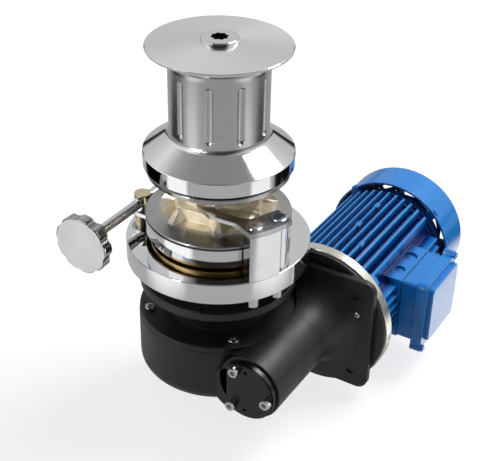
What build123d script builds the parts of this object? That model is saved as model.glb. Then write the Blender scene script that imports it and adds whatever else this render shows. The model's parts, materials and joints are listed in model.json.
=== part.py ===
from build123d import *
import os
from math import cos, sin, pi, radians, degrees, sqrt

os.makedirs("parts", exist_ok=True)

# Frame: millimetres, +Z up along the spindle, +X towards the motor.
# The origin is on the spindle axis, in the base plate's underside, which is the deck face.

# Clearances
running_gap = 0.05
seat_gap = 0.02
slide_gap = 0.3
cone_gap = 0.35

# Deck unit
base_radius = 112.2
base_height = 26.1
deck_gap = 26.4
spigot_radius = 64.0
spigot_depth = 6.0
base_bore = 31.0
base_bush_low = 8.0
base_seal_low = 22.0

# Spindle
shaft_radius = 20.0
shaft_low = -149.5
shaft_top = 258.0
shaft_collar_radius = 26.0
key_width = 12.0
key_height = 8.0
key_sink = 5.0

# Chain wheel
gypsy_mid = 88.6
gypsy_rim_radius = 88.0
gypsy_rim_top = 61.2
gypsy_rim_thickness = 2.4
gypsy_upper_radius = 85.0
gypsy_top = 122.0
flange_slope = 17.0
pocket_count = 7
pocket_first = -148.6
pocket_apothem = 51.0
pocket_core = 55.0
pocket_floor = 20.6
pocket_width = 37.0
pocket_reach = 65.0
groove_radius = 44.0
groove_width = 15.0
tooth_foot_reach = 73.0
tooth_crest_reach = 61.0
tooth_foot_width = 17.0
tooth_crest_width = 6.5
bush_outer = 25.0
hub_low = 46.0
hub_radius = 42.0
web_low = 54.0
upper_cone_floor = 109.0
upper_cone_small = 56.0
upper_cone_large = 61.0

# Brake
brake_drum_radius = 83.0
brake_drum_low = 29.0
lower_cone_large = 72.0
lower_cone_small = 66.0
lining_thickness = 2.2
band_outer = 88.0
band_low = 36.6
band_high = 56.3
rod_radius = 6.3
rod_y = 97.0
rod_height = 51.0
rod_left = -112.0
rod_right = 42.0
trunnion_radius = 10.5
trunnion_top = 62.3
trunnion_near_x = -21.5
trunnion_far_x = 24.5
brake_travel = 3.0
eye_radius = 14.5
eye_low = 36.6
eye_high = 41.8
knob_radius = 36.0
knob_face = -144.1
knob_thickness = 13.0
knob_scallops = 9
knob_scallop_radius = 13.0
knob_scallop_depth = 2.6
knob_hub_radius = 12.0

# Chain stripper and its post
post_inner = 91.0
post_first = -129.3
post_last = -108.7
stripper_low = 84.8
stripper_top = 91.5
finger_low = 86.2
finger_high = 90.8
stripper_end = -99.5
stripper_screw_circle = 97.4
stripper_screw_angles = (-123.0, -102.7)
post_column_radius = 11.0
screw_radius = 4.0
screw_head_radius = 8.0
washer_radius = 9.6
dome_nut_radius = 7.2
dome_nut_length = 19.5

# Warping drum
drum_low = 126.3
drum_skirt_radius = 89.3
drum_skirt_top = 144.5
drum_barrel_radius = 58.5
drum_barrel_low = 168.5
drum_barrel_top = 250.0
drum_disc_radius = 83.65
drum_rim_low = 269.6
drum_rim_top = 273.2
drum_top = 276.9
drum_hub_radius = 34.0
drum_hub_low = 150.0
drum_wall = 8.0
flute_count = 10
flute_first = 165.0
flute_radius = 6.0
flute_low = 174.5
flute_high = 245.0
flute_depth = 3.0
clutch_lift = 1.8
cap_radius = 21.8
cap_top = 281.6
cap_stem_radius = 15.9
cap_stem_low = 260.0
cap_spigot_radius = 10.0
cap_spigot_low = 240.0
star_outer = 11.0
star_inner = 8.6
star_points = 8
star_depth = 18.0

# Gearbox
deck_flange_radius = 97.2
deck_flange_thickness = 10.6
neck_radius = 57.0
pad_first = 140.0
pad_last = 199.5
pad_inner = 84.0
pad_height = 1.6
stud_circle = 72.0
stud_count = 4
stud_radius = 6.0
stud_first = 20.0
stud_sink = 14.0
stud_low = -52.0
nut_height = 9.0
nut_width = 18.0
cover_top = -75.0
cover_radius = 98.8
casing_top = -82.5
casing_radius = 99.6
casing_low = -160.0
casing_bottom_round = 18.0
casing_floor = -150.0
chamber_radius = 82.0
cover_spigot_low = -97.0
cover_screw_circle = 87.0
cover_screw_count = 4
cover_screw_first = -135.3
cover_screw_radius = 4.0
bearing_bore = 20.0
bearing_outer = 40.0
bearing_width = 18.0
seal_outer = 31.0

# Worm gear
worm_centre = 98.0
worm_height = -114.0
module = 4.0
wheel_teeth = 38
wheel_width = 28.0
wheel_hub_radius = 36.0
tooth_thinning = 1.1
root_clearance = 0.8
worm_turns = 4.5
tube_radius = 42.0
tube_front = -85.4
tube_bore = 28.0
rear_bearing_outer = 31.0
front_journal = 12.5
front_bearing_outer = 26.0
front_bearing_width = 15.0
front_bearing_x = -78.0
rear_journal = 15.0
rear_bearing_width = 16.0
rear_bearing_x = 50.0
worm_tail_radius = 19.0
worm_tail_end = 86.0
end_cap_radius = 38.8
end_cap_thickness = 9.0
cap_screw_circle = 30.5
cap_screw_first = 64.0
cap_screw_radius = 4.0
jack_hole_circle = 28.5

# Motor
square_front = 75.0
square_thickness = 9.0
square_side = 165.0
square_corner = 16.0
plug_circle = 69.0
plug_angle = 152.4
plug_radius = 4.0
flare_start = 22.0
flare_radius = 66.0
adapter_radius = 97.0
flange_front = 89.0
flange_thickness = 14.8
flange_radius = 98.9
flange_pilot_radius = 65.0
flange_pilot_length = 3.5
flange_bolt_circle = 82.5
flange_bolt_radius = 5.0
frame_radius = 71.0
frame_bore = 62.0
frame_end = 300.0
fin_tip_radius = 85.0
fin_start = 113.0
fin_end = 291.0
fin_pitch = 11.4
fin_root = 4.2
fin_tip = 2.4
top_fins = 11
side_fins = 7
lug_reach = 96.0
lug_width = 20.0
lug_length = 9.0
motor_shaft_radius = 12.0
motor_bearing_outer = 26.0
motor_bearing_width = 15.0
motor_front_bearing_x = 88.0
motor_rear_bearing_x = 299.5
stator_start = 142.0
stator_end = 258.0
stator_bore = 45.0
rotor_gap = 0.6
shield_radius = 78.0
shield_end = 316.0
cowl_front = 304.2
cowl_end = 366.0
cowl_radius = 89.4
cowl_wall = 2.0
cowl_round = 9.0
cowl_screw_x = cowl_front + 8
fan_start = 322.0
fan_end = 346.0
fan_radius = 74.0
fan_blades = 8

# Terminal box
box_start = 157.0
box_end = 244.0
box_half_height = 44.4
box_step = fin_tip_radius
box_rim_inner = 107.0
box_rim_outer = 118.0
box_rim_start = 153.0
box_rim_end = 248.0
box_rim_half = 50.0
lid_outer = 128.0
lid_plate = 4.0
lid_face_start = 161.0
lid_face_end = 246.0
lid_face_half = 41.5
box_wall = 4.0
board_length = 56.0
knockout_large = 10.0
knockout_small = 8.0
knockout_depth = 3.0

from_bottom = (Align.CENTER, Align.CENTER, Align.MIN)


def disc(radius, low, high):
    return Pos(0, 0, low) * Cylinder(radius, high - low, align=from_bottom)


def tube(outer, inner, low, high):
    return disc(outer, low, high) - disc(inner, low - 1, high + 1)


def turned(points):
    outline = Polyline(*[(r, 0, z) for r, z in points], close=True)
    return revolve(make_face(outline), Axis.Z)


def polar(radius, angle):
    return radius * cos(radians(angle)), radius * sin(radians(angle))


def at_polar(radius, angle, height=0.0):
    x, y = polar(radius, angle)
    return Pos(x, y, height)


def on_worm_axis(shape):
    # the shape's own Z becomes +X on the common axis of worm and motor
    return Pos(0, -worm_centre, worm_height) * Rot(0, 90, 0) * shape


def around_worm_axis(radius, angle, along):
    # a place on a circle round the worm axis, angle from +Y towards +Z
    y, z = polar(radius, angle)
    return Pos(along, y - worm_centre, z + worm_height)


def hexagon(width, low, high):
    return Pos(0, 0, low) * extrude(RegularPolygon(width / sqrt(3), 6), amount=high - low)


def shielded_bearing(bore, outer, width, low):
    # one ring with its two shields set back between the races
    race = (outer - bore) * 0.24
    body = tube(outer, bore, low, low + width)
    for face in (low - 1, low + width - 0.8):
        body -= tube(outer - race, bore + race, face, face + 1.8)
    return body


# Base and what stands on it

def make_base_plate():
    plate = disc(base_radius, 0, base_height)
    plate = fillet(plate.edges().group_by(Axis.Z)[-1], 1.2)
    plate -= disc(spigot_radius + slide_gap, -1, spigot_depth)
    plate -= disc(base_bore, -1, base_height + 1)
    for angle in stripper_screw_angles:
        plate -= at_polar(stripper_screw_circle, angle) * disc(screw_radius + slide_gap, -1, base_height + 1)
    for k in range(stud_count):
        place = at_polar(stud_circle, stud_first + k * 360 / stud_count)
        plate -= place * disc(stud_radius + seat_gap, -1, stud_sink)
    return plate


def make_base_bush():
    return tube(base_bore - seat_gap, shaft_radius + running_gap, base_bush_low, base_seal_low)


def make_base_seal():
    body = tube(base_bore - seat_gap, shaft_radius + running_gap, base_seal_low, base_height)
    return body - tube(base_bore - 2.5, shaft_radius + 2.5, base_height - 2, base_height + 1)


def post_sector(low, high):
    # the wall between two radial faces, flush with the base plate's rim
    reach = 2 * base_radius
    wedge = Polyline(
        (0, 0),
        polar(reach, post_first),
        polar(reach, (post_first + post_last) / 2),
        polar(reach, post_last),
        close=True,
    )
    ring = tube(base_radius, post_inner, low, high)
    return ring & Pos(0, 0, low) * extrude(make_face(wedge), amount=high - low)


def make_stripper_post():
    post = post_sector(base_height, stripper_low)
    column = at_polar(stripper_screw_circle, stripper_screw_angles[1])
    post += column * disc(post_column_radius, base_height, stripper_low) & disc(base_radius - 1.2, 0, 200)
    post -= disc(post_inner, 0, 200)
    for angle in stripper_screw_angles:
        post -= at_polar(stripper_screw_circle, angle) * disc(screw_radius + slide_gap, 0, 200)
    return post


def make_chain_stripper():
    # the plate covers the post; its finger reaches into the groove of the chain wheel
    left = polar(base_radius, post_first)
    middle = polar(base_radius, (post_first + stripper_end) / 2)
    right = polar(base_radius, stripper_end)
    plate_outline = [
        Polyline(left, (-59.3, -60.3), (-38.0, -72.0), (-8.0, -86.0), right),
        ThreePointArc(right, middle, left),
    ]
    plate = Pos(0, 0, stripper_low) * extrude(make_face(plate_outline), amount=stripper_top - stripper_low)
    clear = groove_radius + 2.5
    finger_tip = polar(clear, 178.5)
    finger_middle = polar(clear, 191)
    finger_root = polar(clear, 205)
    finger_outline = [
        Polyline(
            finger_root, (-47.5, -31.0), (-45.5, -58.0), (-36.0, -84.0), (-60.5, -66.0),
            (-59.3, -60.3), (-61.8, -26.6), finger_tip,
        ),
        ThreePointArc(finger_tip, finger_middle, finger_root),
    ]
    finger = Pos(0, 0, finger_low) * extrude(make_face(finger_outline), amount=finger_high - finger_low)
    stripper = plate + finger
    for angle in stripper_screw_angles:
        place = at_polar(stripper_screw_circle, angle)
        stripper -= place * disc(screw_radius + slide_gap, 0, 200)
        sink = Cone(screw_head_radius - 3.2, screw_head_radius + 0.2, 3.4, align=from_bottom)
        stripper -= place * Pos(0, 0, stripper_top - 3.4) * sink
    return stripper


def make_stripper_screws():
    screws = []
    head_top = stripper_top + 1.2
    for angle in stripper_screw_angles:
        head = Pos(0, 0, head_top - 4.2) * Cone(screw_radius, screw_head_radius, 4.2, align=from_bottom)
        screw = disc(screw_radius, 6 - dome_nut_length, head_top - 4) + head
        screw -= hexagon(5.0, head_top - 2.6, head_top + 1)
        screws.append(at_polar(stripper_screw_circle, angle) * screw)
    return Compound(children=screws)


def make_cup_washers():
    # a domed ring round each countersunk head
    low = stripper_top
    bore_low = screw_head_radius - 1.2 + seat_gap
    bore_high = screw_head_radius - 0.1 + seat_gap
    points = [
        (bore_low + 0.15, low),
        (washer_radius, low),
        (washer_radius - 0.3, low + 0.7),
        (bore_high + 0.1, low + 1.2),
    ]
    washers = [at_polar(stripper_screw_circle, angle) * turned(points) for angle in stripper_screw_angles]
    return Compound(children=washers)


def make_dome_nuts():
    nuts = []
    for angle in stripper_screw_angles:
        nut = disc(dome_nut_radius, -dome_nut_length, 0)
        nut = fillet(nut.edges().group_by(Axis.Z)[0], 3.0)
        nut -= disc(screw_radius + seat_gap, 6 - dome_nut_length - seat_gap, 1)
        nuts.append(at_polar(stripper_screw_circle, angle) * nut)
    return Compound(children=nuts)


# Brake

def make_brake_trunnion(x, low):
    body = Pos(x, rod_y, 0) * disc(trunnion_radius, low, trunnion_top)
    body = fillet(body.edges().group_by(Axis.Z)[-1], 1.0)
    hole = Pos(x, rod_y, rod_height) * Rot(0, 90, 0) * Cylinder(rod_radius + 0.08, 4 * trunnion_radius)
    return body - hole


def make_brake_rod():
    axis = Pos(0, rod_y, rod_height) * Rot(0, 90, 0)
    rod = disc(rod_radius, rod_left, rod_right)
    collar = 3.0
    left_collar = trunnion_near_x - trunnion_radius - slide_gap
    rod += disc(rod_radius + 2.4, left_collar - collar, left_collar)
    right_collar = trunnion_near_x + trunnion_radius + slide_gap
    rod += disc(rod_radius + 2.4, right_collar, right_collar + collar)
    rod += disc(rod_radius + 1.6, rod_right - 2.5, rod_right)
    return axis * rod


def make_brake_knob():
    # a scalloped hand wheel with a slightly crowned face and a hub at its back
    back = knob_face + knob_thickness
    wheel = disc(knob_radius, knob_face, back)
    wheel = fillet(wheel.edges().group_by(Axis.Z)[0], 2.0)
    cutter = disc(knob_scallop_radius, knob_face - 1, back + 1)
    distance = knob_radius + knob_scallop_radius - knob_scallop_depth
    for k in range(knob_scallops):
        wheel -= at_polar(distance, 6 + k * 360 / knob_scallops) * cutter
    hub_end = rod_left + 4
    wheel += disc(knob_hub_radius, back, hub_end)
    wheel -= disc(rod_radius, rod_left, hub_end + 1)
    return Pos(0, rod_y, rod_height) * Rot(0, 90, 0) * wheel


def band_section(inner, outer, low, high):
    # a ring opened on the side of the two trunnions
    opening = Polyline((0, 0), (trunnion_near_x - 4, 160), (trunnion_far_x + 4, 160), close=True)
    ring = tube(outer, inner, low, high)
    return ring - Pos(0, 0, low - 1) * extrude(make_face(opening), amount=high - low + 2)


def make_brake_band():
    inner = brake_drum_radius + slide_gap + lining_thickness
    band = band_section(inner, band_outer, band_low, band_high)
    for x, travel in ((trunnion_near_x, 0.0), (trunnion_far_x, brake_travel)):
        centre = x - travel / 2
        eye = Pos(centre, rod_y, 0) * disc(eye_radius + travel / 2, eye_low, eye_high)
        side = 1 if x > 0 else -1
        arm_points = [
            polar(inner, 90 - side * 16),
            polar(inner, 90 - side * 26),
            (centre + side * (eye_radius + travel / 2), rod_y),
            (centre, rod_y),
        ]
        arm = extrude(make_face(Polyline(*arm_points, close=True)), amount=eye_high - eye_low)
        band += eye + Pos(0, 0, eye_low) * arm
        slot = SlotCenterToCenter(travel, 2 * (trunnion_radius + slide_gap)) if travel else Circle(
            trunnion_radius + seat_gap
        )
        band -= Pos(centre, rod_y, eye_low - 1) * extrude(slot, amount=eye_high - eye_low + 2)
    band -= disc(inner, band_low - 1, band_high + 1)
    return band


def make_brake_lining():
    inner = brake_drum_radius + slide_gap
    return band_section(inner, inner + lining_thickness, band_low + 1, band_high - 1)


def make_brake_drum():
    # bronze ring under the chain wheel, with the seat of the lower clutch cone inside
    return turned([
        (lower_cone_large, brake_drum_low),
        (brake_drum_radius - 0.8, brake_drum_low),
        (brake_drum_radius, brake_drum_low + 0.8),
        (brake_drum_radius, web_low),
        (lower_cone_small, web_low),
    ])


# Chain wheel, clutch and warping drum

def slope_drop(radius_from, radius_to):
    return abs(radius_from - radius_to) * sin(radians(flange_slope)) / cos(radians(flange_slope))


def make_chain_wheel():
    lower_root = gypsy_rim_top + slope_drop(gypsy_rim_radius, pocket_core)
    rim_under = 2 * gypsy_mid - gypsy_rim_top
    upper_root = rim_under - slope_drop(gypsy_upper_radius, pocket_core)
    half_groove = groove_width / 2
    rim_low = gypsy_rim_top - gypsy_rim_thickness
    body = turned([
        (bush_outer, hub_low),
        (hub_radius, hub_low),
        (hub_radius, web_low),
        (brake_drum_radius, web_low),
        (brake_drum_radius, rim_low),
        (gypsy_rim_radius, rim_low),
        (gypsy_rim_radius, gypsy_rim_top - 0.6),
        (gypsy_rim_radius - 0.6, gypsy_rim_top),
        (pocket_core, lower_root),
        (pocket_core, gypsy_mid - half_groove),
        (groove_radius, gypsy_mid - half_groove + 2),
        (groove_radius, gypsy_mid + half_groove - 2),
        (pocket_core, gypsy_mid + half_groove),
        (pocket_core, upper_root),
        (gypsy_upper_radius - 0.6, rim_under),
        (gypsy_upper_radius, rim_under + 0.6),
        (gypsy_upper_radius, gypsy_top - 0.6),
        (gypsy_upper_radius - 0.6, gypsy_top),
        (upper_cone_large, gypsy_top),
        (upper_cone_small, upper_cone_floor),
        (bush_outer, upper_cone_floor),
    ])
    # a flat-bottomed pocket for each flat link, between two teeth above and two below
    recess = Pos((pocket_apothem + pocket_reach) / 2, 0, gypsy_mid) * Box(
        pocket_reach - pocket_apothem, pocket_width, 2 * pocket_floor
    )
    half_pitch = 180 / pocket_count
    for k in range(pocket_count):
        body -= Rot(0, 0, pocket_first + half_pitch + k * 2 * half_pitch) * recess
    for k in range(pocket_count):
        turn = Rot(0, 0, pocket_first + k * 2 * half_pitch)
        for side in (-1, 1):
            body += turn * chain_tooth(side)
    return body


def chain_tooth(side):
    # a wedge with a broad foot sunk in the sloping flange and a narrow crest beside the groove
    rim = gypsy_rim_radius if side < 0 else gypsy_upper_radius
    start = pocket_core - 3
    flange = gypsy_mid - gypsy_rim_top
    foot_start = gypsy_mid + side * (flange - slope_drop(rim, pocket_core) + 1)
    foot_reach = gypsy_mid + side * (flange - slope_drop(rim, tooth_foot_reach) + 1)
    crest = gypsy_mid + side * (groove_width / 2 + 0.4)
    sections = []
    for height_start, height_reach, reach, width in (
        (foot_start, foot_reach, tooth_foot_reach, tooth_foot_width),
        (crest, crest, tooth_crest_reach, tooth_crest_width),
    ):
        outline = Polyline(
            (start, -width / 2, height_start),
            (reach, -0.31 * width, height_reach),
            (reach, 0.31 * width, height_reach),
            (start, width / 2, height_start),
            close=True,
        )
        sections.append(make_face(outline))
    return loft(sections, ruled=True)


def make_gypsy_bush():
    return tube(bush_outer - seat_gap, shaft_radius + running_gap, hub_low, upper_cone_floor)


def make_clutch_cone_lower():
    slope = (lower_cone_large - lower_cone_small) / (web_low - brake_drum_low)
    low = brake_drum_low + 1
    high = web_low - 2
    large = lower_cone_large - slope * (low - brake_drum_low) - cone_gap
    small = lower_cone_large - slope * (high - brake_drum_low) - cone_gap
    cone = turned([
        (shaft_radius + seat_gap, base_height + 2),
        (hub_radius - 4, base_height + 2),
        (hub_radius - 4, low + 3),
        (58, low + 3),
        (58, low),
        (large, low),
        (small, high),
        (58, high),
        (58, low + 12),
        (hub_radius, low + 12),
        (hub_radius, hub_low),
        (shaft_radius + seat_gap, hub_low),
    ])
    return cone - key_block(base_height, hub_low + 1, seat_gap)


def make_clutch_cone_upper():
    slope = (upper_cone_large - upper_cone_small) / (gypsy_top - upper_cone_floor)
    low = upper_cone_floor + 0.4
    high = gypsy_top
    small = upper_cone_small + slope * 0.4 - cone_gap
    large = upper_cone_large - cone_gap
    cone = turned([
        (shaft_radius + running_gap, upper_cone_floor),
        (hub_radius - 8, upper_cone_floor),
        (hub_radius - 8, low),
        (small, low),
        (large, high),
        (large, high + 2.5),
        (hub_radius - 4, high + 8),
        (hub_radius - 4, drum_hub_low),
        (shaft_radius + running_gap, drum_hub_low),
    ])
    return cone - key_block(100, drum_hub_low + 1, slide_gap)


def key_block(low, high, gap):
    reach = shaft_radius - key_sink + key_height
    start = shaft_radius - key_sink
    centre = (start + reach) / 2
    return Pos(centre, 0, (low + high) / 2) * Box(
        reach - start + 2 * gap, key_width + 2 * gap, high - low + 2 * gap
    )


drum_key_low = 112.0
drum_key_high = 230.0
cone_key_low = 29.0
cone_key_high = 45.0
wheel_key_low = worm_height - wheel_width / 2
wheel_key_high = worm_height + wheel_width / 2


def make_shaft_keys():
    keys = [key_block(drum_key_low, drum_key_high, 0), key_block(cone_key_low, cone_key_high, 0)]
    return Compound(children=keys)


def make_wheel_key():
    return key_block(wheel_key_low, wheel_key_high, 0)


def make_main_shaft():
    shaft = disc(shaft_radius, shaft_low, shaft_top)
    shaft += disc(shaft_collar_radius, base_height + slide_gap, base_height + 2)
    shaft -= disc(cap_spigot_radius + running_gap, cap_spigot_low - 1, shaft_top + 1)
    for low, high in (
        (drum_key_low, drum_key_high),
        (cone_key_low, cone_key_high),
        (wheel_key_low, wheel_key_high),
    ):
        shaft -= key_block(low, high, 0)
    return shaft


def make_warping_drum():
    inner_barrel = drum_barrel_radius - drum_wall
    skirt_inner = drum_skirt_radius - 9
    disc_under = drum_rim_low - 1.8
    outline = [
        Polyline(
            (shaft_radius + running_gap, 0, drum_hub_low),
            (drum_hub_radius, 0, drum_hub_low),
            (drum_hub_radius, 0, drum_barrel_top + 4),
            (inner_barrel, 0, drum_barrel_top + 4),
            (inner_barrel, 0, drum_barrel_low - 3),
            (skirt_inner - 4, 0, drum_skirt_top + 3),
            (skirt_inner, 0, drum_skirt_top - 3),
            (skirt_inner, 0, drum_low),
            (drum_skirt_radius - 1.2, 0, drum_low),
            (drum_skirt_radius, 0, drum_low + 1.2),
            (drum_skirt_radius, 0, drum_skirt_top - 0.8),
            (drum_skirt_radius - 0.9, 0, drum_skirt_top + 0.2),
            (drum_barrel_radius + 4.2, 0, drum_barrel_low - 4.6),
        ),
        ThreePointArc(
            (drum_barrel_radius + 4.2, 0, drum_barrel_low - 4.6),
            (drum_barrel_radius + 1.3, 0, drum_barrel_low - 1.6),
            (drum_barrel_radius, 0, drum_barrel_low + 2.0),
        ),
        Line((drum_barrel_radius, 0, drum_barrel_low + 2.0), (drum_barrel_radius, 0, drum_barrel_top)),
        ThreePointArc(
            (drum_barrel_radius, 0, drum_barrel_top),
            (drum_barrel_radius + 3.8, 0, drum_barrel_top + 11.2),
            (drum_barrel_radius + 14.0, 0, disc_under - 0.6),
        ),
        Polyline(
            (drum_barrel_radius + 14.0, 0, disc_under - 0.6),
            (drum_disc_radius - 1.2, 0, drum_rim_low),
            (drum_disc_radius, 0, drum_rim_low + 0.8),
            (drum_disc_radius, 0, drum_rim_top - 0.9),
            (drum_disc_radius - 0.9, 0, drum_rim_top),
            (cap_radius, 0, drum_top),
            (cap_stem_radius + running_gap, 0, drum_top),
            (cap_stem_radius + running_gap, 0, cap_stem_low - 0.5),
            (shaft_radius + running_gap, 0, cap_stem_low - 0.5),
            (shaft_radius + running_gap, 0, drum_hub_low),
        ),
    ]
    drum = revolve(make_face(outline), Axis.Z)
    drum -= key_block(drum_hub_low - 1, drum_key_high + clutch_lift, slide_gap)
    # ball-ended whelps milled up the barrel
    ball_low = flute_low + flute_radius - 0.8
    ball_high = flute_high - flute_radius + 0.8
    cutter = Pos(0, 0, ball_low) * Cylinder(flute_radius, ball_high - ball_low, align=from_bottom)
    cutter += Pos(0, 0, ball_low) * Sphere(flute_radius) + Pos(0, 0, ball_high) * Sphere(flute_radius)
    distance = drum_barrel_radius + flute_radius - flute_depth
    for k in range(flute_count):
        drum -= at_polar(distance, flute_first + k * 360 / flute_count) * cutter
    return drum


def make_drum_cap_nut():
    cap = disc(cap_radius, drum_top, cap_top)
    cap = fillet(cap.edges().group_by(Axis.Z)[-1], 1.6)
    cap += disc(cap_stem_radius, cap_stem_low, drum_top)
    cap += disc(cap_spigot_radius, cap_spigot_low, cap_stem_low)
    corners = []
    for k in range(2 * star_points):
        radius = star_outer if k % 2 == 0 else star_inner
        corners.append(polar(radius, k * 180 / star_points))
    star = make_face(Polyline(*corners, close=True))
    return cap - Pos(0, 0, cap_top - star_depth) * extrude(star, amount=star_depth + 1)


# Gearbox

def motor_side_relief():
    # the room taken by the square flange and by the round flange behind it
    edge = square_side / 2 - worm_centre + slide_gap
    square = Pos(square_front - slide_gap, edge, worm_height) * Box(
        square_thickness + 2 * slide_gap, square_side, square_side + 2 * slide_gap,
        align=(Align.MIN, Align.MAX, Align.CENTER),
    )
    back = flange_front + flange_thickness
    return square + on_worm_axis(disc(flange_radius + 1, square_front + square_thickness - 1, back))


def make_gearbox_flange():
    # black casting that clamps the deck from below and carries the gearbox
    top = -deck_gap
    low = top - deck_flange_thickness
    body = turned([
        (shaft_radius + 6, cover_top),
        (neck_radius + 10, cover_top),
        (neck_radius + 10, cover_top + 6),
        (neck_radius, cover_top + 12),
        (neck_radius, low - 3),
        (neck_radius + 3, low),
        (deck_flange_radius - 1, low),
        (deck_flange_radius, low + 1),
        (deck_flange_radius, top - 1),
        (deck_flange_radius - 1, top),
        (spigot_radius, top),
        (spigot_radius, spigot_depth),
        (base_bore, spigot_depth),
        (base_bore, -10),
        (shaft_radius + 6, -14),
    ])
    pad_sweep = Polyline((0, 0), polar(200, pad_first), polar(200, (pad_first + pad_last) / 2),
                         polar(200, pad_last), close=True)
    pad = tube(deck_flange_radius - 1, pad_inner, top, top + pad_height)
    body += pad & Pos(0, 0, top) * extrude(make_face(pad_sweep), amount=pad_height)
    for k in range(stud_count):
        place = at_polar(stud_circle, stud_first + k * 360 / stud_count)
        body -= place * disc(stud_radius + 0.5, low - 1, top + 3)
    return body - motor_side_relief()


def make_deck_studs():
    studs = []
    for k in range(stud_count):
        stud = disc(stud_radius, stud_low, stud_sink - 0.5)
        studs.append(at_polar(stud_circle, stud_first + k * 360 / stud_count) * stud)
    return Compound(children=studs)


def make_stud_nuts():
    nuts = []
    top = -deck_gap - deck_flange_thickness
    for k in range(stud_count):
        nut = hexagon(nut_width, top - nut_height, top)
        nut -= disc(stud_radius + seat_gap, top - nut_height - 1, top + 1)
        nuts.append(at_polar(stud_circle, stud_first + k * 360 / stud_count) * nut)
    return Compound(children=nuts)


def make_gearbox_cover():
    seat_low = cover_spigot_low
    body = turned([
        (bearing_outer + seat_gap, seat_low),
        (bearing_outer + 10, seat_low),
        (bearing_outer + 12, casing_top - 6),
        (chamber_radius - slide_gap, casing_top - 6),
        (chamber_radius - slide_gap, casing_top),
        (cover_radius, casing_top),
        (cover_radius, cover_top - 1.2),
        (cover_radius - 1.2, cover_top),
        (seal_outer + seat_gap, cover_top),
        (seal_outer + seat_gap, seat_low + bearing_width),
        (bearing_outer + seat_gap, seat_low + bearing_width),
    ])
    for k in range(cover_screw_count):
        place = at_polar(cover_screw_circle, cover_screw_first + k * 360 / cover_screw_count)
        body -= place * disc(cover_screw_radius + slide_gap, casing_top - 7, cover_top + 1)
        body -= place * disc(1.63 * cover_screw_radius + slide_gap, cover_top - 2, cover_top + 1)
    return body - motor_side_relief()


def make_cover_screws():
    screws = []
    for k in range(cover_screw_count):
        screw = disc(1.63 * cover_screw_radius, cover_top - 2, cover_top + 4)
        screw += disc(cover_screw_radius, casing_top - 14, cover_top - 2)
        screw -= hexagon(6.0, cover_top + 0.5, cover_top + 5)
        place = at_polar(cover_screw_circle, cover_screw_first + k * 360 / cover_screw_count)
        screws.append(place * screw)
    return Compound(children=screws)


def make_gearbox_casing():
    bend = casing_bottom_round
    corner = (casing_radius - bend * (1 - cos(pi / 4)), 0, casing_low + bend * (1 - sin(pi / 4)))
    outline = [
        Polyline(
            (casing_radius, 0, casing_low + bend),
            (casing_radius, 0, casing_top - 1),
            (casing_radius - 1, 0, casing_top),
            (0, 0, casing_top),
            (0, 0, casing_low),
            (casing_radius - bend, 0, casing_low),
        ),
        ThreePointArc((casing_radius - bend, 0, casing_low), corner, (casing_radius, 0, casing_low + bend)),
    ]
    body = revolve(make_face(outline), Axis.Z)
    flare = [
        Polyline(
            (flare_radius, 0, square_front),
            (0, 0, square_front),
            (0, 0, tube_front),
            (tube_radius - 1, 0, tube_front),
            (tube_radius, 0, tube_front + 1),
            (tube_radius, 0, flare_start),
        ),
        ThreePointArc(
            (tube_radius, 0, flare_start),
            (tube_radius + 5.5, 0, (flare_start + square_front) / 2 + 3),
            (flare_radius, 0, square_front),
        ),
    ]
    body += on_worm_axis(revolve(make_face(flare), Axis.Z))
    body -= disc(cover_radius + slide_gap, casing_top, casing_top + 60)
    back = square_front + square_thickness
    body -= on_worm_axis(disc(flange_radius + 1, back, flange_front + flange_thickness))
    square = extrude(RectangleRounded(square_side, square_side, square_corner), amount=square_thickness)
    square = chamfer(square.edges().group_by(Axis.Z)[0], 1.5)
    body += on_worm_axis(Pos(0, 0, square_front) * square)
    body -= disc(chamber_radius, casing_floor, casing_top + 0.1)
    body += tube(bearing_outer + 9, bearing_outer + seat_gap, casing_floor, casing_floor + bearing_width)
    front_seat = front_bearing_x + front_bearing_width
    body -= on_worm_axis(disc(front_bearing_outer + seat_gap, tube_front - 1, front_seat))
    body -= on_worm_axis(disc(tube_bore, front_seat, rear_bearing_x))
    body -= on_worm_axis(disc(rear_bearing_outer + seat_gap, rear_bearing_x, back))
    body -= on_worm_axis(disc(flange_pilot_radius - 15, square_front - 5, back + 1))
    for k in range(cover_screw_count):
        place = at_polar(cover_screw_circle, cover_screw_first + k * 360 / cover_screw_count)
        body -= place * disc(cover_screw_radius + seat_gap, casing_top - 16, casing_top + 1)
    for k in range(4):
        place = around_worm_axis(flange_bolt_circle, 45 + 90 * k, square_front - 1)
        body -= place * Rot(0, 90, 0) * disc(flange_bolt_radius + seat_gap, 0, square_thickness + 2)
    for k in range(3):
        place = around_worm_axis(cap_screw_circle, cap_screw_first + 120 * k, tube_front - 1)
        body -= place * Rot(0, 90, 0) * disc(cap_screw_radius + seat_gap, 0, 20)
    plug_place = around_worm_axis(plug_circle, plug_angle, square_front - 1)
    body -= plug_place * Rot(0, 90, 0) * disc(plug_radius + seat_gap, 0, 7)
    return body


def make_oil_plug():
    plug = disc(plug_radius, -1.5, 5)
    plug = fillet(plug.edges().group_by(Axis.Z)[0], 1.2)
    return around_worm_axis(plug_circle, plug_angle, square_front) * Rot(0, 90, 0) * plug


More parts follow.
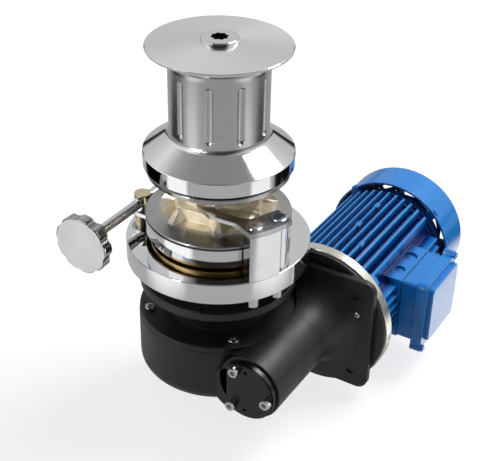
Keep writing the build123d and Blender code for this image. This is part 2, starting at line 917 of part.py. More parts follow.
def gear_outline(turn):
    # tooth flanks through root, pitch and tip, thinned for backlash
    pitch_radius = module * wheel_teeth / 2
    half_root = (module * pi / 2 + 1.75 - tooth_thinning) / 2
    half_pitch = (module * pi / 2 - tooth_thinning) / 2
    half_tip = (module * pi / 2 - 3.25 - tooth_thinning * 0.6) / 2
    root = pitch_radius - module - root_clearance
    points = []
    for k in range(wheel_teeth):
        middle = -90 + (k + 0.5) * 360 / wheel_teeth + turn
        for radius, half in (
            (root, -half_root),
            (pitch_radius, -half_pitch),
            (pitch_radius + module, -half_tip),
            (pitch_radius + module, half_tip),
            (pitch_radius, half_pitch),
            (root, half_root),
        ):
            points.append(polar(radius, middle + degrees(half / radius)))
    return points


def make_worm_wheel():
    worm_pitch_radius = worm_centre - module * wheel_teeth / 2
    lean = degrees(module / 2 / worm_pitch_radius * wheel_width / 2 / (module * wheel_teeth / 2))
    sections = []
    for end in (-1, 1):
        height = worm_height + end * wheel_width / 2
        points = [(x, y, height) for x, y in gear_outline(end * lean)]
        sections.append(make_face(Polyline(*points, close=True)))
    wheel = loft(sections, ruled=True)
    half = wheel_width / 2
    for side in (-1, 1):
        low = worm_height + (4 if side > 0 else -half - 1)
        high = worm_height + (half + 1 if side > 0 else -4)
        wheel -= tube(64, wheel_hub_radius, low, high)
    hub_low_end = casing_floor + bearing_width + 0.2
    hub_high_end = cover_spigot_low - 0.2
    wheel += tube(wheel_hub_radius, shaft_radius, hub_low_end, hub_high_end)
    wheel -= disc(shaft_radius + seat_gap, -200, 0)
    return wheel - key_block(wheel_key_low - 20, wheel_key_high + 20, seat_gap)


def make_worm_shaft():
    pitch_radius = worm_centre - module * wheel_teeth / 2
    root = pitch_radius - module - root_clearance
    lead = module * pi
    half_root = (lead / 2 + 2 * (module + root_clearance) * sin(radians(20)) - tooth_thinning) / 2
    half_tip = (lead / 2 - 2 * module * sin(radians(20)) - tooth_thinning) / 2
    inset = 0.8
    path = Helix(pitch=lead, height=worm_turns * lead, radius=root - inset)
    start = Plane(origin=path @ 0, x_dir=(1, 0, 0), z_dir=path % 0)
    depth = 2 * module + root_clearance + inset
    profile = Polyline((0, -half_root), (depth, -half_tip), (depth, half_tip), (0, half_root), close=True)
    thread = sweep(start * make_face(profile), path=path, is_frenet=True)
    thread = Pos(0, 0, -worm_turns * lead / 2) * thread
    worm = disc(root, front_bearing_x + front_bearing_width, rear_bearing_x)
    worm += thread
    worm += disc(front_journal, front_bearing_x, front_bearing_x + front_bearing_width)
    worm += disc(rear_journal, rear_bearing_x, rear_bearing_x + rear_bearing_width)
    worm += disc(worm_tail_radius, rear_bearing_x + rear_bearing_width, worm_tail_end)
    worm -= disc(motor_shaft_radius + seat_gap, rear_bearing_x + 10, worm_tail_end + 1)
    return on_worm_axis(worm)


def make_worm_bearing_front():
    ring = shielded_bearing(
        front_journal + running_gap, front_bearing_outer, front_bearing_width, front_bearing_x
    )
    return on_worm_axis(ring)


def make_worm_bearing_rear():
    return on_worm_axis(
        shielded_bearing(rear_journal + running_gap, rear_bearing_outer, rear_bearing_width, rear_bearing_x)
    )


def make_worm_seal():
    low = rear_bearing_x + rear_bearing_width
    return on_worm_axis(tube(rear_bearing_outer, worm_tail_radius + running_gap, low, low + 8))


def make_worm_end_cap():
    front = tube_front - end_cap_thickness
    cap = disc(end_cap_radius, front, tube_front)
    cap = fillet(cap.edges().group_by(Axis.Z)[0], 1.2)
    cap += disc(front_bearing_outer, tube_front, front_bearing_x)
    cap -= disc(front_bearing_outer - 6, tube_front + 1, front_bearing_x + 1)
    cap = on_worm_axis(cap)
    for k in range(3):
        place = around_worm_axis(cap_screw_circle, cap_screw_first + 120 * k, front - 1)
        cap -= place * Rot(0, 90, 0) * disc(cap_screw_radius + slide_gap, 0, end_cap_thickness + 2)
    for angle in (90, 270):
        place = around_worm_axis(jack_hole_circle, angle, front - 1)
        cap -= place * Rot(0, 90, 0) * disc(2.2, 0, 5)
    return cap


def make_end_cap_screws():
    front = tube_front - end_cap_thickness
    screws = []
    for k in range(3):
        screw = disc(1.63 * cap_screw_radius, front - 2 * cap_screw_radius, front)
        screw += disc(cap_screw_radius, front, tube_front + 12)
        screw -= hexagon(6.0, front - 9, front - 4)
        screws.append(around_worm_axis(cap_screw_circle, cap_screw_first + 120 * k, 0) * Rot(0, 90, 0) * screw)
    return Compound(children=screws)


# Motor

def make_motor_adapter():
    body = disc(adapter_radius, square_front + square_thickness, flange_front)
    body = fillet(body.edges().group_by(Axis.Z)[0], 2.5)
    body -= disc(flange_pilot_radius + seat_gap, flange_front - flange_pilot_length - 0.5, flange_front + 1)
    body -= disc(flange_pilot_radius - 15, square_front, flange_front + 1)
    body = on_worm_axis(body)
    for k in range(4):
        place = around_worm_axis(flange_bolt_circle, 45 + 90 * k, square_front)
        body -= place * Rot(0, 90, 0) * disc(flange_bolt_radius + slide_gap, 0, 40)
    return body


def make_motor_flange():
    # drive-end shield: machined rim, pilot, bearing seat and rear spigot
    back = flange_front + flange_thickness
    body = disc(flange_radius, flange_front, back)
    body = chamfer(body.edges(), 0.8)
    body += disc(flange_pilot_radius, flange_front - flange_pilot_length, flange_front)
    body += disc(frame_bore - seat_gap, back, back + 6)
    body -= disc(frame_bore - 8, back - 4, back + 7)
    body -= disc(flange_pilot_radius - 14, 0, flange_front + 1)
    body += tube(motor_bearing_outer + 7, motor_bearing_outer + seat_gap, flange_front - 1, back + 2)
    body -= disc(motor_bearing_outer + seat_gap, flange_front, back + 10)
    body = on_worm_axis(body)
    for k in range(4):
        place = around_worm_axis(flange_bolt_circle, 45 + 90 * k, 0)
        body -= place * Rot(0, 90, 0) * disc(flange_bolt_radius + slide_gap, 0, 200)
    return body


def make_flange_bolts():
    back = flange_front + flange_thickness
    bolts = []
    for k in range(4):
        bolt = disc(flange_bolt_radius, square_front + 2, back) + hexagon(16, back, back + 6.4)
        bolts.append(around_worm_axis(flange_bolt_circle, 45 + 90 * k, 0) * Rot(0, 90, 0) * bolt)
    return Compound(children=bolts)


def fin_section():
    # cross-section of the frame: upright fins above and below, level fins at the sides
    section = Circle(frame_radius)
    for count, turn in ((top_fins, 0), (side_fins, 90)):
        for k in range(count):
            offset = (k - (count - 1) / 2) * fin_pitch
            for side in (-1, 1):
                fin = Polygon(
                    (0, offset - fin_root / 2),
                    (0, offset + fin_root / 2),
                    (side * fin_tip_radius, offset + fin_tip / 2),
                    (side * fin_tip_radius, offset - fin_tip / 2),
                    align=None,
                )
                section += Rot(0, 0, turn) * fin
    return section & Circle(fin_tip_radius)


def make_motor_frame():
    front = flange_front + flange_thickness
    body = extrude(fin_section(), amount=fin_end - fin_start, dir=(0, 0, 1))
    body = Pos(0, 0, fin_start) * body
    body += disc(frame_radius, front, frame_end)
    body += disc(frame_radius + 6, front, front + lug_length)
    body += disc(frame_radius + 4, frame_end - 7, frame_end)
    body = on_worm_axis(body)
    for k in range(4):
        angle = 45 + 90 * k
        lug = Box(lug_length, 2 * (lug_reach - 66), lug_width)
        lug = fillet(lug.edges().filter_by(Axis.X), 6)
        place = around_worm_axis(66, angle, front + lug_length / 2)
        body += place * Rot(angle, 0, 0) * lug
    depth = box_step - 40
    pad = Pos((box_start + box_end) / 2, -worm_centre - 40 - depth / 2, worm_height) * Box(
        box_end - box_start, depth, 2 * box_half_height
    )
    body += pad
    inner = Pos((box_start + box_end) / 2, -worm_centre - box_step, worm_height) * Box(
        box_end - box_start - 4 * box_wall, 16, 2 * box_half_height - 4 * box_wall
    )
    body -= inner
    body -= on_worm_axis(disc(frame_bore, front - 1, frame_end + 1))
    for k in range(4):
        place = around_worm_axis(flange_bolt_circle, 45 + 90 * k, front - 1)
        body -= place * Rot(0, 90, 0) * disc(9.6, 0, lug_length + 3)
    top = worm_height + box_half_height
    for x, y, radius in ((217.0, -167.0, knockout_large), (181.0, -168.0, knockout_small)):
        body -= Pos(x, y, top - knockout_depth) * Cylinder(radius, 10, align=from_bottom)
    return body


def make_stator_core():
    return on_worm_axis(tube(frame_bore, stator_bore, stator_start, stator_end))


def make_stator_windings():
    # the coil ends that stand out of both faces of the core
    rings = []
    for low, high in ((stator_start - 16, stator_start), (stator_end, stator_end + 16)):
        ring = tube(frame_bore - 5, stator_bore + 3, low, high)
        outer_edges = ring.edges().group_by(Axis.Z)[0 if low < stator_start else -1]
        rings.append(on_worm_axis(fillet(outer_edges, 3)))
    return Compound(children=rings)


def make_motor_rotor():
    core = tube(stator_bore - rotor_gap, motor_shaft_radius + seat_gap, stator_start, stator_end)
    for low, high in ((stator_start - 8, stator_start), (stator_end, stator_end + 8)):
        core += tube(stator_bore - 4, stator_bore - 18, low, high)
    return on_worm_axis(core)


def make_motor_shaft():
    shaft = disc(motor_shaft_radius, rear_bearing_x + 14, fan_end - 2)
    shaft += disc(motor_shaft_radius + 0.5, motor_front_bearing_x, motor_front_bearing_x + motor_bearing_width)
    return on_worm_axis(shaft)


def make_motor_bearing(low):
    return on_worm_axis(
        shielded_bearing(motor_shaft_radius + 0.5 + running_gap, motor_bearing_outer, motor_bearing_width, low)
    )


def make_rear_end_shield():
    body = disc(shield_radius, frame_end, shield_end)
    body = chamfer(body.edges().group_by(Axis.Z)[-1], 4)
    body += disc(frame_bore - seat_gap, frame_end - 6, frame_end)
    body -= disc(frame_bore - 8, frame_end - 7, frame_end + 5)
    body += tube(motor_bearing_outer + 7, motor_bearing_outer + seat_gap, frame_end - 2, shield_end)
    body -= disc(motor_bearing_outer + seat_gap, frame_end - 10, shield_end - 1)
    body -= disc(motor_shaft_radius + 1, frame_end, shield_end + 1)
    body = on_worm_axis(body)
    for k in range(4):
        angle = 45 + 90 * k
        reach = cowl_radius - cowl_wall - 0.1
        lug = Box(10, 2 * (reach - 60), 14)
        lug = around_worm_axis(60, angle, cowl_screw_x) * Rot(angle, 0, 0) * lug
        body += lug & on_worm_axis(disc(reach, frame_end, shield_end))
        place = around_worm_axis(reach - 12, angle, cowl_screw_x) * Rot(angle, 0, 0) * Rot(-90, 0, 0)
        body -= place * disc(2.5 + seat_gap, 0, 30)
    return body


def make_cooling_fan():
    hub = tube(18, motor_shaft_radius + seat_gap, fan_start - 3, fan_end)
    plate = tube(fan_radius - 8, motor_shaft_radius + 2, fan_start, fan_start + 3)
    fan = hub + plate
    for k in range(fan_blades):
        blade = Pos((fan_radius + 16) / 2, 0, (fan_start + fan_end) / 2 + 1) * Box(
            fan_radius - 16, 2.4, fan_end - fan_start - 2
        )
        fan += Rot(0, 0, k * 360 / fan_blades) * blade
    return on_worm_axis(fan)


def make_fan_cowl():
    inner = cowl_radius - cowl_wall
    shell = disc(cowl_radius, cowl_front, cowl_end)
    shell = fillet(shell.edges().group_by(Axis.Z)[-1], cowl_round)
    hollow = disc(inner, cowl_front - 1, cowl_end - cowl_wall)
    hollow = fillet(hollow.edges().group_by(Axis.Z)[-1], cowl_round - cowl_wall)
    shell -= hollow
    shell += tube(cowl_radius + 0.8, inner, cowl_front, cowl_front + 2)
    # air inlet: rings of slots in the rear face
    for radius, count in ((20, 6), (33, 8), (46, 10), (59, 12)):
        slot_length = 2 * pi * radius / count - 5
        for k in range(count):
            slot = Pos(radius, 0, cowl_end - 2 * cowl_wall) * Box(6, slot_length, 4 * cowl_wall)
            shell -= Rot(0, 0, k * 360 / count) * slot
    shell = on_worm_axis(shell)
    for k in range(4):
        place = around_worm_axis(inner - 4, 45 + 90 * k, cowl_screw_x) * Rot(45 + 90 * k, 0, 0) * Rot(-90, 0, 0)
        shell -= place * disc(2.5 + slide_gap, 0, 10)
    return shell


def make_cowl_screws():
    screws = []
    for k in range(4):
        screw = disc(2.5, -10, cowl_wall) + disc(4.6, cowl_wall, cowl_wall + 2.2)
        angle = 45 + 90 * k
        place = around_worm_axis(cowl_radius - cowl_wall, angle, cowl_screw_x) * Rot(angle, 0, 0)
        screws.append(place * Rot(-90, 0, 0) * screw)
    return Compound(children=screws)


# Terminal box, on the motor's -Y side

def side_plate(x_low, x_high, half_height, near, far, corner):
    # a plate square to Y, between two distances from the motor axis
    plate = extrude(RectangleRounded(x_high - x_low, 2 * half_height, corner), amount=far - near)
    return Pos((x_low + x_high) / 2, -worm_centre - near, worm_height) * Rot(90, 0, 0) * plate


def make_terminal_box():
    box = side_plate(box_start, box_end, box_half_height, box_step, box_rim_inner + 1, 5)
    box += side_plate(box_rim_start, box_rim_end, box_rim_half, box_rim_inner, box_rim_outer, 7)
    for x, z in ((box_rim_end - 5, box_rim_half), (box_rim_start + 5, -box_rim_half)):
        boss = Pos(x, -worm_centre - box_rim_inner, worm_height + z) * Rot(90, 0, 0)
        box += boss * disc(6, 0, box_rim_outer - box_rim_inner)
    box -= side_plate(
        box_start + box_wall, box_end - box_wall, box_half_height - box_wall, box_step + 4, box_rim_outer + 1, 3
    )
    opening = Box(board_length - 16, 12, 2 * box_half_height - 6 * box_wall)
    box -= Pos((box_start + box_end) / 2, -worm_centre - box_step, worm_height) * opening
    for x, z in lid_screw_places():
        place = Pos(x, -worm_centre - box_rim_inner - 1, z) * Rot(90, 0, 0)
        box -= place * disc(2.5 + seat_gap, 0, 20)
    return box


def lid_screw_places():
    reach = box_rim_half
    return (
        (box_rim_end - 5, worm_height + reach),
        (box_rim_start + 5, worm_height - reach),
    )


def make_terminal_lid():
    lid = side_plate(box_rim_start, box_rim_end, box_rim_half, box_rim_outer, box_rim_outer + lid_plate, 7)
    for x, z in lid_screw_places():
        boss = Pos(x, -worm_centre - box_rim_outer, z) * Rot(90, 0, 0)
        lid += boss * disc(6, 0, lid_plate)
    face = side_plate(lid_face_start, lid_face_end, lid_face_half, box_rim_outer + lid_plate, lid_outer, 9)
    face = fillet(face.edges().group_by(Axis.Y)[0], 2)
    lid += face
    for x, z in lid_screw_places():
        place = Pos(x, -worm_centre - box_rim_outer + 1, z) * Rot(90, 0, 0)
        lid -= place * disc(2.5 + slide_gap, 0, 20)
    return lid


def make_lid_screws():
    screws = []
    head = box_rim_outer + lid_plate
    for x, z in lid_screw_places():
        screw = disc(2.5, box_rim_inner + 3, head) + disc(4.5, head, head + 3)
        screw -= Pos(0, 0, head + 3) * Box(10, 1.2, 2.4)
        screws.append(Pos(x, -worm_centre, z) * Rot(90, 0, 0) * screw)
    return Compound(children=screws)


def make_terminal_board():
    # insulating block with its six studs, on the floor of the terminal box
    floor = box_step + 4
    centre = (box_start + box_end) / 2
    board = side_plate(centre - board_length / 2, centre + board_length / 2, 18, floor, floor + 8, 3)
    for column in (-18, 0, 18):
        for row in (-8, 8):
            place = Pos(centre + column, -worm_centre - floor, worm_height + row) * Rot(90, 0, 0)
            board += place * disc(2.5, 0, 18)
    return board


parts = {
    "base_plate": make_base_plate,
    "base_bush": make_base_bush,
    "base_seal": make_base_seal,
    "stripper_post": make_stripper_post,
    "chain_stripper": make_chain_stripper,
    "stripper_screws": make_stripper_screws,
    "cup_washers": make_cup_washers,
    "dome_nuts": make_dome_nuts,
    "brake_trunnion_near": lambda: make_brake_trunnion(trunnion_near_x, base_height),
    "brake_trunnion_far": lambda: make_brake_trunnion(trunnion_far_x, base_height),
    "brake_rod": make_brake_rod,
    "brake_knob": make_brake_knob,
    "brake_band": make_brake_band,
    "brake_lining": make_brake_lining,
    "brake_drum": make_brake_drum,
    "chain_wheel": make_chain_wheel,
    "chain_wheel_bush": make_gypsy_bush,
    "clutch_cone_lower": make_clutch_cone_lower,
    "clutch_cone_upper": make_clutch_cone_upper,
    "shaft_keys": make_shaft_keys,
    "wheel_key": make_wheel_key,
    "main_shaft": make_main_shaft,
    "warping_drum": make_warping_drum,
    "drum_cap_nut": make_drum_cap_nut,
    "gearbox_flange": make_gearbox_flange,
    "deck_studs": make_deck_studs,
    "stud_nuts": make_stud_nuts,
    "gearbox_cover": make_gearbox_cover,
    "cover_screws": make_cover_screws,
    "gearbox_casing": make_gearbox_casing,
    "oil_plug": make_oil_plug,
    "shaft_bearing_lower": lambda: shielded_bearing(
        bearing_bore + running_gap, bearing_outer, bearing_width, casing_floor
    ),
    "shaft_bearing_upper": lambda: shielded_bearing(
        bearing_bore + running_gap, bearing_outer, bearing_width, cover_spigot_low
    ),
    "shaft_seal": lambda: tube(
        seal_outer, shaft_radius + running_gap, cover_spigot_low + bearing_width, cover_top
    ),
    "worm_wheel": make_worm_wheel,
    "worm_shaft": make_worm_shaft,
    "worm_bearing_front": make_worm_bearing_front,
    "worm_bearing_rear": make_worm_bearing_rear,
    "worm_seal": make_worm_seal,
    "worm_end_cap": make_worm_end_cap,
    "end_cap_screws": make_end_cap_screws,
    "motor_adapter": make_motor_adapter,
    "motor_flange": make_motor_flange,
    "flange_bolts": make_flange_bolts,
    "motor_bearing_front": lambda: make_motor_bearing(motor_front_bearing_x),
    "motor_bearing_rear": lambda: make_motor_bearing(motor_rear_bearing_x),
    "motor_frame": make_motor_frame,
    "stator_core": make_stator_core,
    "stator_windings": make_stator_windings,
    "motor_rotor": make_motor_rotor,
    "motor_shaft": make_motor_shaft,
    "rear_end_shield": make_rear_end_shield,
    "cooling_fan": make_cooling_fan,
    "fan_cowl": make_fan_cowl,
    "cowl_screws": make_cowl_screws,
    "terminal_box": make_terminal_box,
    "terminal_lid": make_terminal_lid,
    "lid_screws": make_lid_screws,
    "terminal_board": make_terminal_board,
}

for name, make in parts.items():
    export_step(make(), "parts/" + name + ".step")
    print("wrote", name)
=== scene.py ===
import json
from math import acos, cos, pi, radians, sin

import bmesh
import bpy
from mathutils import Matrix, Vector


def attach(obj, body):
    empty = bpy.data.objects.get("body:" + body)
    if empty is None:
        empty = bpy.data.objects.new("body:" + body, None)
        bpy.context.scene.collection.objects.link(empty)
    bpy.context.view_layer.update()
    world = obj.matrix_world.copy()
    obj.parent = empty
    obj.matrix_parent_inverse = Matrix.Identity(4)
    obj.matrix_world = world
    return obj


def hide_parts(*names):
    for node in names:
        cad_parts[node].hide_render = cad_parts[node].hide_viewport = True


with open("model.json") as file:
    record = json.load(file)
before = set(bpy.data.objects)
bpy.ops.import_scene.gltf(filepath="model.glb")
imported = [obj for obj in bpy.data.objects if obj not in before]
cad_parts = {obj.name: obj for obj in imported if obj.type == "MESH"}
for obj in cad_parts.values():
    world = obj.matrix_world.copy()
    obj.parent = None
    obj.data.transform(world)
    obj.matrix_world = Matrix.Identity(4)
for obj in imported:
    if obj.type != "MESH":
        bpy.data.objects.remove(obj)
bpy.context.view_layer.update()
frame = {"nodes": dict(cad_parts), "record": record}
nodes = frame["nodes"]
print("windlass: frame loaded with", len(nodes), "nodes")

pureWhite = (1, 1, 1, 1)


def hexColor(code):
    channels = [int(code[i:i + 2], 16) / 255 for i in (1, 3, 5)]
    linear = [c / 12.92 if c <= 0.04045 else ((c + 0.055) / 1.055) ** 2.4 for c in channels]
    return (*linear, 1.0)


def addNode(tree, kind, inputs=None, **settings):
    node = tree.nodes.new(kind)
    for name, value in settings.items():
        setattr(node, name, value)
    for key, value in (inputs or {}).items():
        if isinstance(value, bpy.types.NodeSocket):
            tree.links.new(value, node.inputs[key])
        else:
            node.inputs[key].default_value = value
    return node


def addObject(name, data):
    item = bpy.data.objects.new(name, data)
    bpy.context.scene.collection.objects.link(item)
    return item


def meshFrom(name, shape):
    mesh = bpy.data.meshes.new(name)
    shape.to_mesh(mesh)
    shape.free()
    return mesh


# Camera, placed for a frame of 500 x 461

cameraSetup = {
    "azimuth": -59.518,     # degrees, 0 looks along +Y
    "pitch": 32.428,        # degrees below the horizon
    "roll": 1.339,
    "place": (-0.96172, -0.61047, 0.75344),
    "lens": 79.744,
    "sensorWidth": 36.0,
    "farthest": 50.0,
}


def makeCamera(setup):
    turn, drop, roll = (radians(setup[key]) for key in ("azimuth", "pitch", "roll"))
    ahead = Vector((-sin(turn) * cos(drop), cos(turn) * cos(drop), -sin(drop)))
    right = Vector((cos(turn), sin(turn), 0))
    up = right.cross(ahead)
    rolledRight = cos(roll) * right + sin(roll) * up
    rolledUp = -sin(roll) * right + cos(roll) * up
    data = bpy.data.cameras.new("photoCamera")
    data.sensor_fit = "HORIZONTAL"
    data.sensor_width = setup["sensorWidth"]
    data.lens = setup["lens"]
    data.clip_end = setup["farthest"]
    camera = addObject("photoCamera", data)
    axes = Matrix((rolledRight, rolledUp, -ahead)).transposed().to_4x4()
    camera.matrix_world = Matrix.Translation(setup["place"]) @ axes
    bpy.context.scene.camera = camera


makeCamera(cameraSetup)
print("windlass: camera placed")


# Studio: white paper, cards that only reflections see, two soft boxes and a narrow beam

studio = {
    "floorHeight": -0.2131,
    "floorSize": 30.0,
    "floorColor": "#a9a9a9",
    "floorGlow": 0.78,          # added for the camera, so that lit paper turns white
    "farGlow": 1.0,             # the same for far paper, out of the lamps' reach
    "glowReach": (0.6, 3.0),    # metres from the origin over which the one turns into the other
    "floorMirrored": 0.52,      # how bright the paper is in reflections
    "cardLift": 0.001,
    "cardFade": 0.34,           # where a card starts to fade, from its middle, as a share of its size
    "worldLight": 0.18,
    "bearing": cameraSetup["azimuth"],
}

# bearing in degrees to the left of the camera's side, then distance, width and depth in metres, and brightness
cards = {
    "leftFlag": (106.0, 0.84, 0.72, 0.62, 0.0),
    "rightFlag": (-108.0, 0.84, 0.56, 0.62, 0.0),
    "leftReflector": (60.0, 0.70, 0.46, 0.72, 1.3),
    "rightReflector": (-64.0, 0.70, 0.44, 0.72, 1.2),
    "lidReflector": (-116.0, 0.45, 0.30, 0.36, 1.9),
}

# the room that reflections meet: brightness by height, and by how far a direction points away from the camera
room = {
    "walls": ((0.0, 0.015), (0.07, 0.05), (0.14, 0.95), (0.6, 1.05), (0.78, 0.46), (0.9, 0.33), (1.0, 0.3)),
    "front": (-0.7, -0.42, 0.03, 1.0),      # the camera's side is dark
    "back": (0.2, 0.75, 1.0, 0.68),         # the far wall is a little dimmer than the side walls
}

# place, target, width and height in metres, power in watts, spread in degrees
lamps = {
    "keyBox": ((1.15, -0.75, 1.8), (0.1, 0, 0), 1.2, 1.2, 40.0, 180.0),
    "fillBox": ((-1.3, 1.0, 1.5), (0, 0, 0.1), 0.9, 1.2, 1.5, 180.0),
    "pocketBox": ((-0.94, 0.225, 0.34), (-0.05, 0, 0.088), 0.16, 0.16, 0.12, 16.0),     # on the chain wheel
}


def makeSheet(name, corners, surface):
    mesh = bpy.data.meshes.new(name)
    mesh.from_pydata(corners, [], [(0, 1, 2, 3)])
    mesh.uv_layers.new()
    sheet = addObject(name, mesh)
    material = bpy.data.materials.new(name)
    material.use_nodes = True
    tree = material.node_tree
    tree.nodes.clear()
    addNode(tree, "ShaderNodeOutputMaterial", {"Surface": surface(tree)})
    mesh.materials.append(material)
    return sheet


def makeFloor(setup):
    half = setup["floorSize"] / 2
    z = setup["floorHeight"]
    near, far = setup["glowReach"]

    def paper(tree):
        rays = addNode(tree, "ShaderNodeLightPath")
        sheet = addNode(tree, "ShaderNodeBsdfDiffuse", {"Color": hexColor(setup["floorColor"])})
        place = addNode(tree, "ShaderNodeTexCoord").outputs["Object"]
        off = addNode(tree, "ShaderNodeVectorMath", {0: place}, operation="LENGTH").outputs["Value"]
        level = addNode(tree, "ShaderNodeMapRange",
                        {0: off, 1: near, 2: far, 3: setup["floorGlow"], 4: setup["farGlow"]}).outputs[0]
        glow = addNode(tree, "ShaderNodeEmission", {"Color": pureWhite, "Strength": level})
        lit = addNode(tree, "ShaderNodeAddShader", {0: sheet.outputs[0], 1: glow.outputs[0]})
        mirrored = addNode(tree, "ShaderNodeEmission", {"Color": pureWhite, "Strength": setup["floorMirrored"]})
        shown = addNode(tree, "ShaderNodeMixShader",
                        {0: rays.outputs["Is Camera Ray"], 1: sheet.outputs[0], 2: lit.outputs[0]})
        return addNode(tree, "ShaderNodeMixShader",
                       {0: rays.outputs["Is Glossy Ray"], 1: shown.outputs[0], 2: mirrored.outputs[0]}).outputs[0]

    corners = [(-half, -half, z), (half, -half, z), (half, half, z), (-half, half, z)]
    makeSheet("studioFloor", corners, paper)


def makeCard(name, bearing, distance, width, depth, level, setup):
    turn = radians(setup["bearing"] - 90 - bearing)
    out = Vector((cos(turn), sin(turn), 0))
    across = Vector((-sin(turn), cos(turn), 0))
    base = Vector((0, 0, setup["floorHeight"] + setup["cardLift"]))
    corners = [base + out * (distance + v * depth / 2) + across * u * width / 2
               for u, v in ((-1, -1), (1, -1), (1, 1), (-1, 1))]

    def feathered(tree):
        # the card fades into the paper towards its edges
        spot = addNode(tree, "ShaderNodeSeparateXYZ", {0: addNode(tree, "ShaderNodeTexCoord").outputs["UV"]})
        fades = []
        for way in (0, 1):
            off = addNode(tree, "ShaderNodeMath", {0: spot.outputs[way], 1: 0.5}, operation="SUBTRACT").outputs[0]
            far = addNode(tree, "ShaderNodeMath", {0: off}, operation="ABSOLUTE").outputs[0]
            fades.append(addNode(tree, "ShaderNodeMapRange", {0: far, 1: 0.5, 2: setup["cardFade"], 3: 0.0, 4: 1.0},
                                 interpolation_type="SMOOTHSTEP").outputs[0])
        both = addNode(tree, "ShaderNodeMath", {0: fades[0], 1: fades[1]}, operation="MULTIPLY").outputs[0]
        strength = addNode(tree, "ShaderNodeMapRange", {0: both, 3: setup["floorMirrored"], 4: level}).outputs[0]
        return addNode(tree, "ShaderNodeEmission", {"Color": pureWhite, "Strength": strength}).outputs[0]

    card = makeSheet(name, corners, feathered)
    for ray in ("camera", "diffuse", "transmission", "shadow", "volume_scatter"):
        setattr(card, "visible_" + ray, False)


def makeWorld(setup, walls):
    world = bpy.data.worlds.new("studio")
    world.use_nodes = True
    bpy.context.scene.world = world
    tree = world.node_tree
    tree.nodes.clear()
    rays = addNode(tree, "ShaderNodeLightPath")
    place = addNode(tree, "ShaderNodeTexCoord").outputs["Generated"]
    height = addNode(tree, "ShaderNodeSeparateXYZ", {0: place}).outputs[2]
    # a dark skirting, bright walls and a grey ceiling
    ramp = addNode(tree, "ShaderNodeValToRGB", {0: height})
    stops = ramp.color_ramp.elements
    for position, _ in walls["walls"][1:-1]:
        stops.new(position)
    for stop, (position, value) in zip(stops, walls["walls"]):
        stop.position, stop.color = position, (value, value, value, 1)
    turn = radians(setup["bearing"] + 90)
    ahead = addNode(tree, "ShaderNodeVectorMath", {0: place, 1: (cos(turn), sin(turn), 0)},
                    operation="DOT_PRODUCT").outputs["Value"]
    sides = [addNode(tree, "ShaderNodeMapRange", {0: ahead, **dict(enumerate(walls[side], 1))}).outputs[0]
             for side in ("front", "back")]
    level = addNode(tree, "ShaderNodeMath", {0: sides[0], 1: sides[1]}, operation="MULTIPLY")
    mirrored = addNode(tree, "ShaderNodeBackground", {"Color": ramp.outputs[0], "Strength": level.outputs[0]})
    soft = addNode(tree, "ShaderNodeBackground", {"Color": pureWhite, "Strength": setup["worldLight"]})
    backdrop = addNode(tree, "ShaderNodeBackground", {"Color": pureWhite, "Strength": 1.0})
    inner = addNode(tree, "ShaderNodeMixShader",
                    {0: rays.outputs["Is Glossy Ray"], 1: soft.outputs[0], 2: mirrored.outputs[0]})
    outer = addNode(tree, "ShaderNodeMixShader",
                    {0: rays.outputs["Is Camera Ray"], 1: inner.outputs[0], 2: backdrop.outputs[0]})
    addNode(tree, "ShaderNodeOutputWorld", {"Surface": outer.outputs[0]})


def makeSoftBox(name, place, target, width, height, power, spread):
    data = bpy.data.lights.new(name, "AREA")
    data.shape = "RECTANGLE"
    data.size = width
    data.size_y = height
    data.energy = power
    data.spread = radians(spread)
    lamp = addObject(name, data)
    lamp.location = place
    lamp.rotation_euler = (Vector(target) - Vector(place)).to_track_quat("-Z", "Y").to_euler()
    lamp.visible_camera = False


makeFloor(studio)
for cardName, card in cards.items():
    makeCard(cardName, *card, studio)
makeWorld(studio, room)
for lampName, lamp in lamps.items():
    makeSoftBox(lampName, *lamp)
print("windlass: studio ready")


# Finishes. Patterns are set out in metres on the part's own coordinates.

spindleAxis = (0.0, 0.0, 0.0)
wormAxis = (0.0, -0.098, -0.114)
knobAxis = (0.0, 0.097, 0.051)

# how often each pattern repeats in a metre; tool rings are far finer on the real metal and drawn so that they show
patterns = {
    "toolRings": 520.0,
    "handlingHaze": 26.0,
    "drumRings": 480.0,
    "drumHaze": 14.0,
    "wheelRings": 460.0,
    "wheelMottle": 45.0,
    "wheelPits": 420.0,
    "chromeHaze": 32.0,
    "chromeWaves": 60.0,
    "castingScuffs": 24.0,
    "dustSpecks": 260.0,
    "orangePeel": 300.0,
    "enamelCloud": 30.0,
    "rubbedPatches": 60.0,
}


def newFinish(name):
    material = bpy.data.materials.new(name)
    material.use_nodes = True
    tree = material.node_tree
    tree.nodes.clear()
    place = addNode(tree, "ShaderNodeTexCoord").outputs["Object"]
    return material, tree, place


def closeFinish(tree, inputs):
    surface = addNode(tree, "ShaderNodeBsdfPrincipled", inputs)
    addNode(tree, "ShaderNodeOutputMaterial", {"Surface": surface.outputs[0]})


def radiusAndReach(tree, place, axis, along):
    # distance from the axis and place along it
    moved = addNode(tree, "ShaderNodeVectorMath", {0: place, 1: axis}, operation="SUBTRACT").outputs[0]
    keep = [1.0, 1.0, 1.0]
    keep[along] = 0.0
    flat = addNode(tree, "ShaderNodeVectorMath", {0: moved, 1: keep}, operation="MULTIPLY").outputs[0]
    radius = addNode(tree, "ShaderNodeVectorMath", {0: flat}, operation="LENGTH").outputs["Value"]
    reach = addNode(tree, "ShaderNodeSeparateXYZ", {0: moved}).outputs[along]
    return radius, reach


def toolRings(tree, radius, reach, pattern):
    # rings left by a lathe
    ringPlace = addNode(tree, "ShaderNodeCombineXYZ", {0: radius, 1: reach}).outputs[0]
    return addNode(tree, "ShaderNodeTexNoise",
                   {"Vector": ringPlace, "Scale": patterns[pattern], "Detail": 1.0}).outputs[0]


